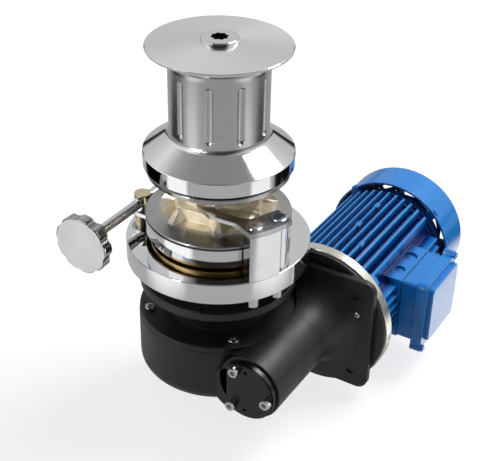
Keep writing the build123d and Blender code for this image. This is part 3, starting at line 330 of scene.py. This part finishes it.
def edgeRoundingAndHighlight(tree, roundness, start, full):
    # a normal that rounds the edges off, and a mask that is full on them, for painting highlights along the edges
    rounded = addNode(tree, "ShaderNodeBevel", {"Radius": roundness}, samples=6).outputs[0]
    facing = addNode(tree, "ShaderNodeNewGeometry").outputs["Normal"]
    bend = addNode(tree, "ShaderNodeVectorMath", {0: rounded, 1: facing}, operation="DOT_PRODUCT").outputs["Value"]
    edge = addNode(tree, "ShaderNodeMapRange", {0: bend, 1: start, 2: full, 3: 0.0, 4: 1.0}).outputs[0]
    return rounded, edge


turnedLook = {
    "dulling": (0.35, 0.72),    # noise levels between which the sheen goes from clear to dull
    "darkening": (0.3, 0.75),
    "darkest": 0.9,             # share of the colour that is left where the haze is full
    "leastRough": 0.02,
    "ringStrength": 0.4,
}


def turnedMetal(name, color, rough, spread, axis=spindleAxis, along=2, ringDepth=0.000012, setup=turnedLook):
    # fine tool rings round the axis, with haze and handling marks that dull the sheen in places
    material, tree, place = newFinish(name)
    rings = toolRings(tree, *radiusAndReach(tree, place, axis, along), "toolRings")
    haze = addNode(tree, "ShaderNodeTexNoise",
                   {"Vector": place, "Scale": patterns["handlingHaze"], "Detail": 2.0}).outputs[0]
    cloud = addNode(tree, "ShaderNodeMapRange",
                    {0: haze, 1: setup["dulling"][0], 2: setup["dulling"][1],
                     3: max(rough - spread, setup["leastRough"]), 4: rough + spread}).outputs[0]
    tone = addNode(tree, "ShaderNodeMapRange",
                   {0: haze, 1: setup["darkening"][0], 2: setup["darkening"][1], 3: 1.0,
                    4: setup["darkest"]}).outputs[0]
    tint = addNode(tree, "ShaderNodeVectorMath", {0: hexColor(color)[:3], 1: tone}, operation="MULTIPLY").outputs[0]
    lines = addNode(tree, "ShaderNodeBump",
                    {"Height": rings, "Strength": setup["ringStrength"], "Distance": ringDepth}).outputs[0]
    closeFinish(tree, {"Base Color": tint, "Metallic": 1.0, "Roughness": cloud, "Normal": lines})
    return material


chromeLook = {
    "dulling": (0.35, 0.72),
    "waveStrength": 0.3,
    "waveDepth": 0.00003,
}


def polishedChrome(name, color, roughLow, roughHigh, setup=chromeLook):
    # bright plate over polished metal: a mirror with faint polishing haze and hairline marks
    material, tree, place = newFinish(name)
    haze = addNode(tree, "ShaderNodeTexNoise",
                   {"Vector": place, "Scale": patterns["chromeHaze"], "Detail": 4.0}).outputs[0]
    rough = addNode(tree, "ShaderNodeMapRange",
                    {0: haze, 1: setup["dulling"][0], 2: setup["dulling"][1], 3: roughLow, 4: roughHigh}).outputs[0]
    waves = addNode(tree, "ShaderNodeTexNoise",
                    {"Vector": place, "Scale": patterns["chromeWaves"], "Detail": 1.0}).outputs[0]
    skin = addNode(tree, "ShaderNodeBump",
                   {"Height": waves, "Strength": setup["waveStrength"], "Distance": setup["waveDepth"]}).outputs[0]
    closeFinish(tree, {"Base Color": hexColor(color), "Metallic": 1.0, "Roughness": rough, "Normal": skin})
    return material


coatingLook = {
    "dustColor": "#8d8a84",
    "speckSize": (0.07, 0.13),  # share of the specks' spacing, solid and faded out
    "scuffing": (0.52, 0.78),   # noise levels between which dust starts to be caught and lies thick
    "sheening": (0.3, 0.7),
    "smoother": 0.07,
    "rougher": 0.09,
    "skinStrength": 0.35,
    "skinDepth": 0.18,          # share of the grain's size
}


def coatedCasting(name, color, rough, grainSize, dust, setup=coatingLook):
    # sand-cast skin under a thin black coating, with pale dust caught on it
    material, tree, place = newFinish(name)
    sand = addNode(tree, "ShaderNodeTexNoise", {"Vector": place, "Scale": 1 / grainSize, "Detail": 4.0}).outputs[0]
    cloud = addNode(tree, "ShaderNodeTexNoise",
                    {"Vector": place, "Scale": patterns["castingScuffs"], "Detail": 4.0}).outputs[0]
    specks = addNode(tree, "ShaderNodeTexVoronoi",
                     {"Vector": place, "Scale": patterns["dustSpecks"]}).outputs["Distance"]
    speck = addNode(tree, "ShaderNodeMapRange",
                    {0: specks, 1: setup["speckSize"][0], 2: setup["speckSize"][1], 3: dust, 4: 0.0}).outputs[0]
    scuffs = addNode(tree, "ShaderNodeMapRange",
                     {0: cloud, 1: setup["scuffing"][0], 2: setup["scuffing"][1], 3: 0.0, 4: 1.0}).outputs[0]
    shown = addNode(tree, "ShaderNodeMath", {0: speck, 1: scuffs}, operation="MULTIPLY").outputs[0]
    base = addNode(tree, "ShaderNodeMix", {0: shown, 6: hexColor(color), 7: hexColor(setup["dustColor"])},
                   data_type="RGBA").outputs[2]
    sheen = addNode(tree, "ShaderNodeMapRange",
                    {0: cloud, 1: setup["sheening"][0], 2: setup["sheening"][1],
                     3: rough - setup["smoother"], 4: rough + setup["rougher"]}).outputs[0]
    skin = addNode(tree, "ShaderNodeBump",
                   {"Height": sand, "Strength": setup["skinStrength"],
                    "Distance": grainSize * setup["skinDepth"]}).outputs[0]
    closeFinish(tree, {"Base Color": base, "Roughness": sheen, "Normal": skin})
    return material


softLook = {
    "rubbing": (0.3, 0.7),
    "smoother": 0.1,
    "rougher": 0.08,
    "grainStrength": 0.3,
    "grainDepth": 0.2,          # share of the grain's size
}


def softMatter(name, color, rough, grainSize, setup=softLook):
    # moulded or pressed matter: even colour with a fine grain and rubbed patches
    material, tree, place = newFinish(name)
    grain = addNode(tree, "ShaderNodeTexNoise", {"Vector": place, "Scale": 1 / grainSize, "Detail": 3.0}).outputs[0]
    rubbed = addNode(tree, "ShaderNodeTexNoise",
                     {"Vector": place, "Scale": patterns["rubbedPatches"], "Detail": 3.0}).outputs[0]
    sheen = addNode(tree, "ShaderNodeMapRange",
                    {0: rubbed, 1: setup["rubbing"][0], 2: setup["rubbing"][1],
                     3: rough - setup["smoother"], 4: rough + setup["rougher"]}).outputs[0]
    skin = addNode(tree, "ShaderNodeBump",
                   {"Height": grain, "Strength": setup["grainStrength"],
                    "Distance": grainSize * setup["grainDepth"]}).outputs[0]
    closeFinish(tree, {"Base Color": hexColor(color), "Roughness": sheen, "Normal": skin})
    return material


drumLook = {
    "mirror": "#d9dadc",
    "satin": "#bcbcbd",
    # lighter copy of the satin for the disc, painted light on the top face
    "face": "#e6e7e8",
    "disc": (0.2694, 0.2775, 0.0828),       # low, high, radius in metres
    "barrel": (0.1660, 0.2640, 0.0690),
    "mirrorRough": (0.03, 0.08),
    "satinRough": (0.26, 0.29),
    "dulling": (0.35, 0.7),
    "grain": 0.6,               # how far the disc's sheen is drawn out round the axis
    "ringStrength": 0.25,
    "ringDepth": 0.000015,
}


def drumFinish(name, setup):
    # satin disc and barrel where rope runs, mirror polish on the skirt, cone and rims; the disc's satin is painted
    # lighter than the barrel's, painted light on the top face
    material, tree, place = newFinish(name)
    radius, height = radiusAndReach(tree, place, spindleAxis, 2)
    masks = []
    for low, high, reach in (setup["disc"], setup["barrel"]):
        above = addNode(tree, "ShaderNodeMath", {0: height, 1: low}, operation="GREATER_THAN").outputs[0]
        below = addNode(tree, "ShaderNodeMath", {0: height, 1: high}, operation="LESS_THAN").outputs[0]
        inside = addNode(tree, "ShaderNodeMath", {0: radius, 1: reach}, operation="LESS_THAN").outputs[0]
        both = addNode(tree, "ShaderNodeMath", {0: above, 1: below}, operation="MULTIPLY").outputs[0]
        masks.append(addNode(tree, "ShaderNodeMath", {0: both, 1: inside}, operation="MULTIPLY").outputs[0])
    disc, barrel = masks
    satin = addNode(tree, "ShaderNodeMath", {0: disc, 1: barrel}, operation="MAXIMUM").outputs[0]
    rings = toolRings(tree, radius, height, "drumRings")
    haze = addNode(tree, "ShaderNodeTexNoise",
                   {"Vector": place, "Scale": patterns["drumHaze"], "Detail": 1.5}).outputs[0]
    dull, clear = (addNode(tree, "ShaderNodeMapRange",
                           {0: haze, 1: setup["dulling"][0], 2: setup["dulling"][1],
                            3: setup[key][0], 4: setup[key][1]}).outputs[0]
                   for key in ("satinRough", "mirrorRough"))
    rough = addNode(tree, "ShaderNodeMix", {0: satin, 2: clear, 3: dull}).outputs[0]
    bright = addNode(tree, "ShaderNodeMix", {0: satin, 6: hexColor(setup["mirror"]), 7: hexColor(setup["satin"])},
                     data_type="RGBA").outputs[2]
    # painted light: the disc takes the lighter colour of the same satin
    color = addNode(tree, "ShaderNodeMix", {0: disc, 6: bright, 7: hexColor(setup["face"])},
                    data_type="RGBA").outputs[2]
    strength = addNode(tree, "ShaderNodeMath", {0: satin, 1: setup["ringStrength"]}, operation="MULTIPLY").outputs[0]
    lines = addNode(tree, "ShaderNodeBump",
                    {"Height": rings, "Strength": strength, "Distance": setup["ringDepth"]}).outputs[0]
    grain = addNode(tree, "ShaderNodeMath", {0: disc, 1: setup["grain"]}, operation="MULTIPLY").outputs[0]
    tangent = addNode(tree, "ShaderNodeTangent", direction_type="RADIAL", axis="Z").outputs[0]
    closeFinish(tree, {"Base Color": color, "Metallic": 1.0, "Roughness": rough, "Anisotropic": grain,
                       "Tangent": tangent, "Normal": lines})
    return material


chainWheelLook = {
    "turned": "#a5a5a4",
    "cast": "#ddd2bb",
    "castDark": "#c6b898",
    # paler colour painted along the teeth's edges, a painted highlight
    "rubbed": "#f6f2ea",
    "castMetallic": 0.35,
    "castRough": (0.34, 0.46),
    "turnedRough": (0.16, 0.26),
    "pocketRadius": 0.0610,
    "flangeRadius": 0.0745,
    "mottling": (0.35, 0.65),
    "dulling": (0.3, 0.7),
    "edgeRadius": 0.0012,
    "edgeBend": (0.995, 0.9),   # 1 on a flat face, less the more an edge turns away
    "reliefStrength": 0.25,
    "reliefDepth": 0.00004,
}


def chainWheelFinish(name, setup):
    # turned flanges round pockets that keep the warm skin of the casting
    material, tree, place = newFinish(name)
    radius, height = radiusAndReach(tree, place, spindleAxis, 2)
    outside = addNode(tree, "ShaderNodeMapRange",
                      {0: radius, 1: setup["pocketRadius"], 2: setup["flangeRadius"], 3: 0.0, 4: 1.0}).outputs[0]
    mottle = addNode(tree, "ShaderNodeTexNoise",
                     {"Vector": place, "Scale": patterns["wheelMottle"], "Detail": 2.0}).outputs[0]
    skin = addNode(tree, "ShaderNodeMapRange",
                   {0: mottle, 1: setup["mottling"][0], 2: setup["mottling"][1], 3: 0.0, 4: 1.0}).outputs[0]
    cast = addNode(tree, "ShaderNodeMix", {0: skin, 6: hexColor(setup["cast"]), 7: hexColor(setup["castDark"])},
                   data_type="RGBA").outputs[2]
    # painted highlight: the edges of the teeth are painted a paler colour
    rounded, edge = edgeRoundingAndHighlight(tree, setup["edgeRadius"], *setup["edgeBend"])
    edgeHighlighted = addNode(tree, "ShaderNodeMix", {0: edge, 6: cast, 7: hexColor(setup["rubbed"])},
                     data_type="RGBA").outputs[2]
    color = addNode(tree, "ShaderNodeMix", {0: outside, 6: edgeHighlighted, 7: hexColor(setup["turned"])},
                    data_type="RGBA").outputs[2]
    coarse, fine = (addNode(tree, "ShaderNodeMapRange",
                            {0: mottle, 1: setup["dulling"][0], 2: setup["dulling"][1],
                             3: setup[key][0], 4: setup[key][1]}).outputs[0]
                    for key in ("castRough", "turnedRough"))
    rough = addNode(tree, "ShaderNodeMix", {0: outside, 2: coarse, 3: fine}).outputs[0]
    rings = toolRings(tree, radius, height, "wheelRings")
    pits = addNode(tree, "ShaderNodeTexNoise",
                   {"Vector": place, "Scale": patterns["wheelPits"], "Detail": 2.0}).outputs[0]
    relief = addNode(tree, "ShaderNodeMix", {0: outside, 2: pits, 3: rings}).outputs[0]
    bump = addNode(tree, "ShaderNodeBump", {"Height": relief, "Strength": setup["reliefStrength"],
                                            "Distance": setup["reliefDepth"], "Normal": rounded}).outputs[0]
    metal = addNode(tree, "ShaderNodeMapRange", {0: outside, 3: setup["castMetallic"], 4: 1.0}).outputs[0]
    closeFinish(tree, {"Base Color": color, "Metallic": metal, "Roughness": rough, "Normal": bump})
    return material


enamelLook = {
    "color": "#0888e2",
    # paler blue for the edges: painted highlight, partly worn paint
    "wornEdgeHighlight": "#66b8f6",
    # dark navy painted into the fins' roots as painted shade
    "paintedFinShade": "#031f6c",
    "rough": 0.28,
    "coat": 0.3,
    "coatRough": 0.06,
    "sheening": (0.3, 0.7),
    "smoother": 0.02,
    "rougher": 0.03,
    "peelStrength": 0.15,
    "peelDepth": 0.00001,
    "finTip": 0.0840,           # radii from the motor's axis between which painted shade darkens the paint, deepest at the fins' roots
    "finRoot": 0.0755,
    "edgeRadius": 0.0013,
    "edgeBend": (0.99, 0.86),   # 1 on a flat face, less the more an edge turns away
}


def enamel(name, setup):
    # gloss enamel over cast fins: orange peel, paler paint on the edges as painted highlight with some wear, and
    # painted shade that darkens the paint towards the fins' roots
    material, tree, place = newFinish(name)
    ripple = addNode(tree, "ShaderNodeTexNoise",
                     {"Vector": place, "Scale": patterns["orangePeel"], "Detail": 1.0}).outputs[0]
    cloud = addNode(tree, "ShaderNodeTexNoise",
                    {"Vector": place, "Scale": patterns["enamelCloud"], "Detail": 2.0}).outputs[0]
    radius, _ = radiusAndReach(tree, place, wormAxis, 0)
    finShadeMask = addNode(tree, "ShaderNodeMapRange",
                   {0: radius, 1: setup["finTip"], 2: setup["finRoot"], 3: 0.0, 4: 1.0}).outputs[0]
    rounded, edge = edgeRoundingAndHighlight(tree, setup["edgeRadius"], *setup["edgeBend"])
    # painted highlight along the edges, partly paint worn thin, broken up by the cloud
    thin = addNode(tree, "ShaderNodeMath", {0: edge, 1: cloud}, operation="MULTIPLY").outputs[0]
    # painted shade: the paint darkens towards the roots of the fins
    body = addNode(tree, "ShaderNodeMix", {0: finShadeMask, 6: hexColor(setup["color"]), 7: hexColor(setup["paintedFinShade"])},
                   data_type="RGBA").outputs[2]
    base = addNode(tree, "ShaderNodeMix", {0: thin, 6: body, 7: hexColor(setup["wornEdgeHighlight"])},
                   data_type="RGBA").outputs[2]
    sheen = addNode(tree, "ShaderNodeMapRange",
                    {0: cloud, 1: setup["sheening"][0], 2: setup["sheening"][1],
                     3: setup["rough"] - setup["smoother"], 4: setup["rough"] + setup["rougher"]}).outputs[0]
    skin = addNode(tree, "ShaderNodeBump", {"Height": ripple, "Strength": setup["peelStrength"],
                                            "Distance": setup["peelDepth"], "Normal": rounded}).outputs[0]
    closeFinish(tree, {"Base Color": base, "Roughness": sheen, "Coat Weight": setup["coat"],
                       "Coat Roughness": setup["coatRough"], "Normal": skin, "Coat Normal": rounded})
    return material


finishes = {
    "polished_chrome": polishedChrome("bright chrome plate", "#d9dadc", roughLow=0.02, roughHigh=0.07),
    "satin_steel": chainWheelFinish("turned chain wheel steel", chainWheelLook),
    "bronze": turnedMetal("turned bronze", "#c9a86e", rough=0.2, spread=0.06),
    "stainless_fasteners": polishedChrome("stainless screw", "#cfcfd0", roughLow=0.12, roughHigh=0.24),
    # painted shade: studs and nuts that sit in shadow under the deck flange are coloured black
    "black_fasteners": softMatter("nut steel painted dark as shade", "#141415", rough=0.45, grainSize=0.0004),
    "steel": turnedMetal("ground shaft steel", "#b5b5b6", rough=0.22, spread=0.06),
    "black_casting": coatedCasting("black coated casting", "#1f1f21", rough=0.44, grainSize=0.0007, dust=0.5),
    "black_anodised": coatedCasting("black anodised aluminium", "#0a0a0b", rough=0.2, grainSize=0.0003, dust=0.15),
    "machined_aluminium": turnedMetal("machined aluminium", "#d8d5cf", rough=0.28, spread=0.04,
                                      axis=wormAxis, along=0, ringDepth=0.000004),
    "blue_paint": enamel("blue gloss enamel", enamelLook),
    "black_rubber": softMatter("seal rubber", "#101010", rough=0.7, grainSize=0.0003),
    "friction_lining": softMatter("brake lining", "#2a241e", rough=0.82, grainSize=0.0008),
    "copper_winding": turnedMetal("varnished copper wire", "#a4572a", rough=0.32, spread=0.08,
                                  axis=wormAxis, along=0, ringDepth=0.0001),
    "black_plastic": softMatter("black nylon", "#141414", rough=0.5, grainSize=0.0005),
}
paleBronze = turnedMetal("rubbed pale bronze", "#d9cba8", rough=0.2, spread=0.05)
ownFinishes = {
    "warping_drum": drumFinish("polished drum with satin barrel", drumLook),
    "brake_knob": turnedMetal("faced knob chrome", "#b9b9ba", rough=0.16, spread=0.06,
                              axis=knobAxis, along=0, ringDepth=0.00002),
    "stripper_post": turnedMetal("satin post chrome", "#d0d0d1", rough=0.13, spread=0.05),
    "chain_stripper": turnedMetal("rubbed stripper steel", "#aaaaab", rough=0.2, spread=0.05),
    "brake_trunnion_near": paleBronze,
    "brake_trunnion_far": paleBronze,
    "cowl_screws": finishes["blue_paint"],
    "lid_screws": finishes["blue_paint"],
    # painted shade: the flange bolts' ends are coloured black to stand for their shadowed holes
    "flange_bolts": finishes["black_fasteners"],
}

slotOf = {entry["node"]: entry["material_slot"] for entry in frame["record"]["subparts"]}
for nodeName, node in nodes.items():
    node.data.materials.clear()
    node.data.materials.append(ownFinishes.get(nodeName, finishes[slotOf[nodeName]]))
print("windlass: finishes applied")


# Pieces made here

def addPiece(name, mesh, finish, slotName, body, *stoodFor):
    piece = addObject(name, mesh)
    piece.data.materials.clear()
    piece.data.materials.append(finish)
    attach(piece, body)
    if stoodFor:
        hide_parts(*stoodFor)


# shares of the head's height are counted from its middle, shares of its width from its axis
screwHead = {
    "layers": 10,
    "knurlTop": 0.25,
    "knurlDepth": 0.05,
    "rimStart": 0.3,
    "rimEnd": 0.5,
    "rimWidth": 0.9,
    "socketLift": 0.45,
    "shankSides": 24,
}


def socketScrewTree(setup):
    # instances a knurled socket-head screw on each point of the object it is put on
    tree = bpy.data.node_groups.new("socketScrews", "GeometryNodeTree")
    tree.interface.new_socket("Geometry", in_out="INPUT", socket_type="NodeSocketGeometry")
    for socketName, kind in (("Head Radius", "Float"), ("Head Height", "Float"), ("Shank Radius", "Float"),
                             ("Shank Length", "Float"), ("Socket Radius", "Float"), ("Knurls", "Int"),
                             ("Turn", "Vector"), ("Finish", "Material")):
        tree.interface.new_socket(socketName, in_out="INPUT", socket_type="NodeSocket" + kind)
    tree.interface.new_socket("Geometry", in_out="OUTPUT", socket_type="NodeSocketGeometry")
    given = addNode(tree, "NodeGroupInput").outputs
    height = given["Head Height"]
    # every second corner of the side is pressed in, and the top edge is turned down
    around = addNode(tree, "ShaderNodeMath", {0: given["Knurls"], 1: 2.0}, operation="MULTIPLY").outputs[0]
    head = addNode(tree, "GeometryNodeMeshCylinder", {"Vertices": around, "Side Segments": setup["layers"],
                                                      "Radius": given["Head Radius"], "Depth": height})
    index = addNode(tree, "GeometryNodeInputIndex").outputs[0]
    odd = addNode(tree, "ShaderNodeMath", {0: index, 1: 2.0}, operation="MODULO").outputs[0]
    position = addNode(tree, "GeometryNodeInputPosition").outputs[0]
    level = addNode(tree, "ShaderNodeSeparateXYZ", {0: position}).outputs[2]
    share = addNode(tree, "ShaderNodeMath", {0: level, 1: height}, operation="DIVIDE").outputs[0]
    knurled = addNode(tree, "ShaderNodeMath", {0: share, 1: setup["knurlTop"]}, operation="LESS_THAN").outputs[0]
    cut = addNode(tree, "ShaderNodeMath", {0: odd, 1: knurled}, operation="MULTIPLY").outputs[0]
    ridge = addNode(tree, "ShaderNodeMath", {0: cut, 1: -setup["knurlDepth"], 2: 1.0},
                    operation="MULTIPLY_ADD").outputs[0]
    rim = addNode(tree, "ShaderNodeMapRange",
                  {0: share, 1: setup["rimStart"], 2: setup["rimEnd"], 3: 1.0, 4: setup["rimWidth"]}).outputs[0]
    scale = addNode(tree, "ShaderNodeMath", {0: ridge, 1: rim}, operation="MULTIPLY").outputs[0]
    spread = addNode(tree, "ShaderNodeCombineXYZ", {0: scale, 1: scale, 2: 1.0}).outputs[0]
    placed = addNode(tree, "ShaderNodeVectorMath", {0: position, 1: spread}, operation="MULTIPLY").outputs[0]
    shaped = addNode(tree, "GeometryNodeSetPosition", {"Geometry": head.outputs["Mesh"], "Position": placed})
    # hexagon socket
    key = addNode(tree, "GeometryNodeMeshCylinder",
                  {"Vertices": 6, "Radius": given["Socket Radius"], "Depth": height}).outputs["Mesh"]
    lift = addNode(tree, "ShaderNodeMath", {0: height, 1: setup["socketLift"]}, operation="MULTIPLY").outputs[0]
    raised = addNode(tree, "ShaderNodeCombineXYZ", {2: lift}).outputs[0]
    keyUp = addNode(tree, "GeometryNodeTransform", {"Geometry": key, "Translation": raised}).outputs[0]
    hollow = addNode(tree, "GeometryNodeMeshBoolean", {"Mesh 1": shaped.outputs[0], "Mesh 2": keyUp},
                     operation="DIFFERENCE").outputs[0]
    # plain shank under the head
    shank = addNode(tree, "GeometryNodeMeshCylinder", {"Vertices": setup["shankSides"], "Depth": given["Shank Length"],
                                                       "Radius": given["Shank Radius"]}).outputs["Mesh"]
    both = addNode(tree, "ShaderNodeMath", {0: height, 1: given["Shank Length"]}, operation="ADD").outputs[0]
    drop = addNode(tree, "ShaderNodeMath", {0: both, 1: -0.5}, operation="MULTIPLY").outputs[0]
    lowered = addNode(tree, "ShaderNodeCombineXYZ", {2: drop}).outputs[0]
    shankDown = addNode(tree, "GeometryNodeTransform", {"Geometry": shank, "Translation": lowered}).outputs[0]
    screw = addNode(tree, "GeometryNodeJoinGeometry", {0: hollow})
    tree.links.new(shankDown, screw.inputs[0])
    fitted = addNode(tree, "GeometryNodeInstanceOnPoints",
                     {"Points": given["Geometry"], "Instance": screw.outputs[0], "Rotation": given["Turn"]})
    real = addNode(tree, "GeometryNodeRealizeInstances", {0: fitted.outputs[0]})
    dressed = addNode(tree, "GeometryNodeSetMaterial", {"Geometry": real.outputs[0], "Material": given["Finish"]})
    addNode(tree, "NodeGroupOutput", {0: dressed.outputs[0]})
    return tree


def grown(name, points, tree, values):
    mesh = bpy.data.meshes.new(name + "Points")
    mesh.from_pydata(points, [], [])
    holder = addObject(name + "Points", mesh)
    modifier = holder.modifiers.new(name, "NODES")
    modifier.node_group = tree
    for item in tree.interface.items_tree:
        if item.in_out == "INPUT" and item.name in values:
            modifier[item.identifier] = values[item.name]
    graph = bpy.context.evaluated_depsgraph_get()
    result = bpy.data.meshes.new_from_object(holder.evaluated_get(graph))
    result.name = name
    bpy.data.objects.remove(holder)
    return result


capScrewLook = {
    "count": 3,
    "circle": 0.0305,
    "first": 64.0,          # degrees from +Y towards +Z
    "middle": -0.0984,      # x of the middle of the heads
    "Head Radius": 0.00652,
    "Head Height": 0.008,
    "Shank Radius": 0.004,
    "Shank Length": 0.02,
    "Socket Radius": 0.0035,
    "Knurls": 30,
}
coverScrewLook = {
    "count": 4,
    "circle": 0.087,
    "first": -135.3,        # degrees from +X towards +Y
    "middle": -0.0740,      # z of the middle of the heads
    "Head Radius": 0.00652,
    "Head Height": 0.006,
    "Shank Radius": 0.004,
    "Shank Length": 0.018,
    "Socket Radius": 0.0035,
    "Knurls": 30,
}


def screwSpots(setup):
    # places round the circle, as steps along its two directions
    turns = [radians(setup["first"] + 360 / setup["count"] * k) for k in range(setup["count"])]
    return [(setup["circle"] * cos(t), setup["circle"] * sin(t)) for t in turns]


def makeSocketScrews(name, tree, setup, points, turn, stoodFor):
    steel = finishes["stainless_fasteners"]
    values = dict(setup, Turn=turn, Finish=steel)
    addPiece(name, grown(name, points, tree, values), steel, "stainless_fasteners", "base", stoodFor)


screwTree = socketScrewTree(screwHead)
makeSocketScrews("capSocketScrews", screwTree, capScrewLook,
                 [(capScrewLook["middle"], wormAxis[1] + u, wormAxis[2] + v) for u, v in screwSpots(capScrewLook)],
                 (0.0, radians(-90), 0.0), "end_cap_screws")
makeSocketScrews("coverSocketScrews", screwTree, coverScrewLook,
                 [(u, v, coverScrewLook["middle"]) for u, v in screwSpots(coverScrewLook)],
                 (0.0, 0.0, 0.0), "cover_screws")
print("windlass: socket screws grown")


gasketLook = {
    "centre": (0.2005, -0.1830, -0.1140),
    "half": (0.0435, 0.0444),   # along X and Z, to the box's outer walls
    "corner": 0.005,
    "cornerSteps": 8,
    "proud": 0.00035,
    "inward": 0.0015,
    "thick": 0.0011,
}


def makeBoxGasket(setup):
    # thin rubber gasket between the motor's neck and the terminal box; its black line is also painted shade for the
    # shadowed seam there
    shape = bmesh.new()
    steps = setup["cornerSteps"]
    around = 4 * steps
    loops = []
    for grow in (setup["proud"], -setup["inward"]):
        for side in (-0.5, 0.5):
            loop = []
            for k in range(around):
                quarter, step = divmod(k, steps)
                turn = pi * quarter / 2 + pi * step / (2 * (steps - 1))
                way = (1 if quarter in (0, 3) else -1, 1 if quarter in (0, 1) else -1)
                spot = [way[i] * (setup["half"][i] - setup["corner"])
                        + (setup["corner"] + grow) * (cos(turn), sin(turn))[i] for i in (0, 1)]
                loop.append(shape.verts.new((setup["centre"][0] + spot[0],
                                             setup["centre"][1] + side * setup["thick"],
                                             setup["centre"][2] + spot[1])))
            loops.append(loop)
    for near, far in ((0, 1), (1, 3), (3, 2), (2, 0)):
        for k in range(around):
            j = (k + 1) % around
            shape.faces.new((loops[near][k], loops[near][j], loops[far][j], loops[far][k]))
    bmesh.ops.recalc_face_normals(shape, faces=shape.faces)
    addPiece("boxGasket", meshFrom("boxGasket", shape), finishes["black_rubber"], "black_rubber", "base")


endCapLook = {
    "radius": 0.0388,
    "flat": 0.0265,             # from the worm's axis to the flat, towards +Y
    "front": -0.0944,
    "back": -0.0854,
    "round": 0.0012,
    "sides": 144,
    "jackCircle": 0.0285,
    "jackRadius": 0.0022,
    "jackDrill": 0.008,         # half of it goes in
}


def makeEndCap(setup):
    # the worm tube's cover, with the flat that clears the casing beside it and two jacking holes
    shape = bmesh.new()
    half = acos(setup["flat"] / setup["radius"])
    turns = [half + (2 * pi - 2 * half) * k / setup["sides"] for k in range(setup["sides"] + 1)]
    ring = [shape.verts.new((setup["back"], wormAxis[1] + setup["radius"] * cos(t),
                             wormAxis[2] + setup["radius"] * sin(t))) for t in turns]
    base = shape.faces.new(ring)
    top = bmesh.ops.extrude_face_region(shape, geom=[base])["geom"]
    raised = [v for v in top if isinstance(v, bmesh.types.BMVert)]
    bmesh.ops.translate(shape, vec=(setup["front"] - setup["back"], 0, 0), verts=raised)
    bmesh.ops.recalc_face_normals(shape, faces=shape.faces)
    touching = 1e-7
    rim = [e for e in shape.edges if all(abs(v.co.x - setup["front"]) < touching for v in e.verts)]
    bmesh.ops.bevel(shape, geom=rim, offset=setup["round"], segments=4, affect="EDGES")
    holder = addObject("endCapBlank", meshFrom("endCap", shape))
    drills = bmesh.new()
    for side in (-1, 1):
        place = Matrix.Translation((setup["front"], wormAxis[1], wormAxis[2] + side * setup["jackCircle"]))
        bmesh.ops.create_cone(drills, cap_ends=True, segments=24, radius1=setup["jackRadius"],
                              radius2=setup["jackRadius"], depth=setup["jackDrill"],
                              matrix=place @ Matrix.Rotation(radians(90), 4, "Y"))
    cutter = addObject("jackDrills", meshFrom("jackDrills", drills))
    cut = holder.modifiers.new("jackHoles", "BOOLEAN")
    cut.operation = "DIFFERENCE"
    cut.object = cutter
    result = bpy.data.meshes.new_from_object(holder.evaluated_get(bpy.context.evaluated_depsgraph_get()))
    for spare in (holder, cutter):
        bpy.data.objects.remove(spare)
    addPiece("endCap", result, finishes["black_anodised"], "black_anodised", "base", "worm_end_cap")


bossLook = {
    "radius": 0.0320,
    "centre": (-0.0760, -0.1280),   # y and z
    "front": -0.0854,
    "back": -0.0500,
    "round": 0.0012,
    "sides": 160,
}


def makeCasingBoss(setup):
    # the corner between the worm tube and the round casing is filled up to the tube's face
    shape = bmesh.new()
    length = setup["back"] - setup["front"]
    bmesh.ops.create_cone(shape, cap_ends=True, segments=setup["sides"], radius1=setup["radius"],
                          radius2=setup["radius"], depth=length)
    rim = [e for e in shape.edges if all(v.co.z < 0 for v in e.verts)]
    bmesh.ops.bevel(shape, geom=rim, offset=setup["round"], segments=4, affect="EDGES")
    turn = Matrix.Rotation(radians(90), 4, "Y")
    middle = (setup["front"] + length / 2, *setup["centre"])
    bmesh.ops.transform(shape, matrix=Matrix.Translation(middle) @ turn, verts=shape.verts)
    addPiece("casingBoss", meshFrom("casingBoss", shape), finishes["black_casting"], "black_casting", "base")


finPadLook = {
    "places": ((0.2510, 0.0), (0.1940, 0.0), (0.1560, -0.0228)),    # x, and y from the motor's axis
    "size": (0.0120, 0.0068, 0.0080),
    "top": 0.0856,              # radius of the pads' tops
    "round": 0.0012,
}


def makeFinPads(setup):
    # small cast pads that thicken a few fins
    shape = bmesh.new()
    for x, y in setup["places"]:
        reach = (setup["top"] ** 2 - y ** 2) ** 0.5
        cube = bmesh.ops.create_cube(shape, size=1.0)["verts"]
        place = Matrix.Translation((x, wormAxis[1] + y, wormAxis[2] + reach - setup["size"][2] / 2))
        bmesh.ops.transform(shape, matrix=place @ Matrix.Diagonal((*setup["size"], 1.0)), verts=cube)
    bmesh.ops.bevel(shape, geom=list(shape.edges), offset=setup["round"], segments=3, affect="EDGES")
    addPiece("finPads", meshFrom("finPads", shape), finishes["blue_paint"], "blue_paint", "base")


makeBoxGasket(gasketLook)
makeEndCap(endCapLook)
makeCasingBoss(bossLook)
makeFinPads(finPadLook)
print("windlass: gasket, end cap, boss and fin pads made")

bpy.context.scene.view_settings.view_transform = "Standard"
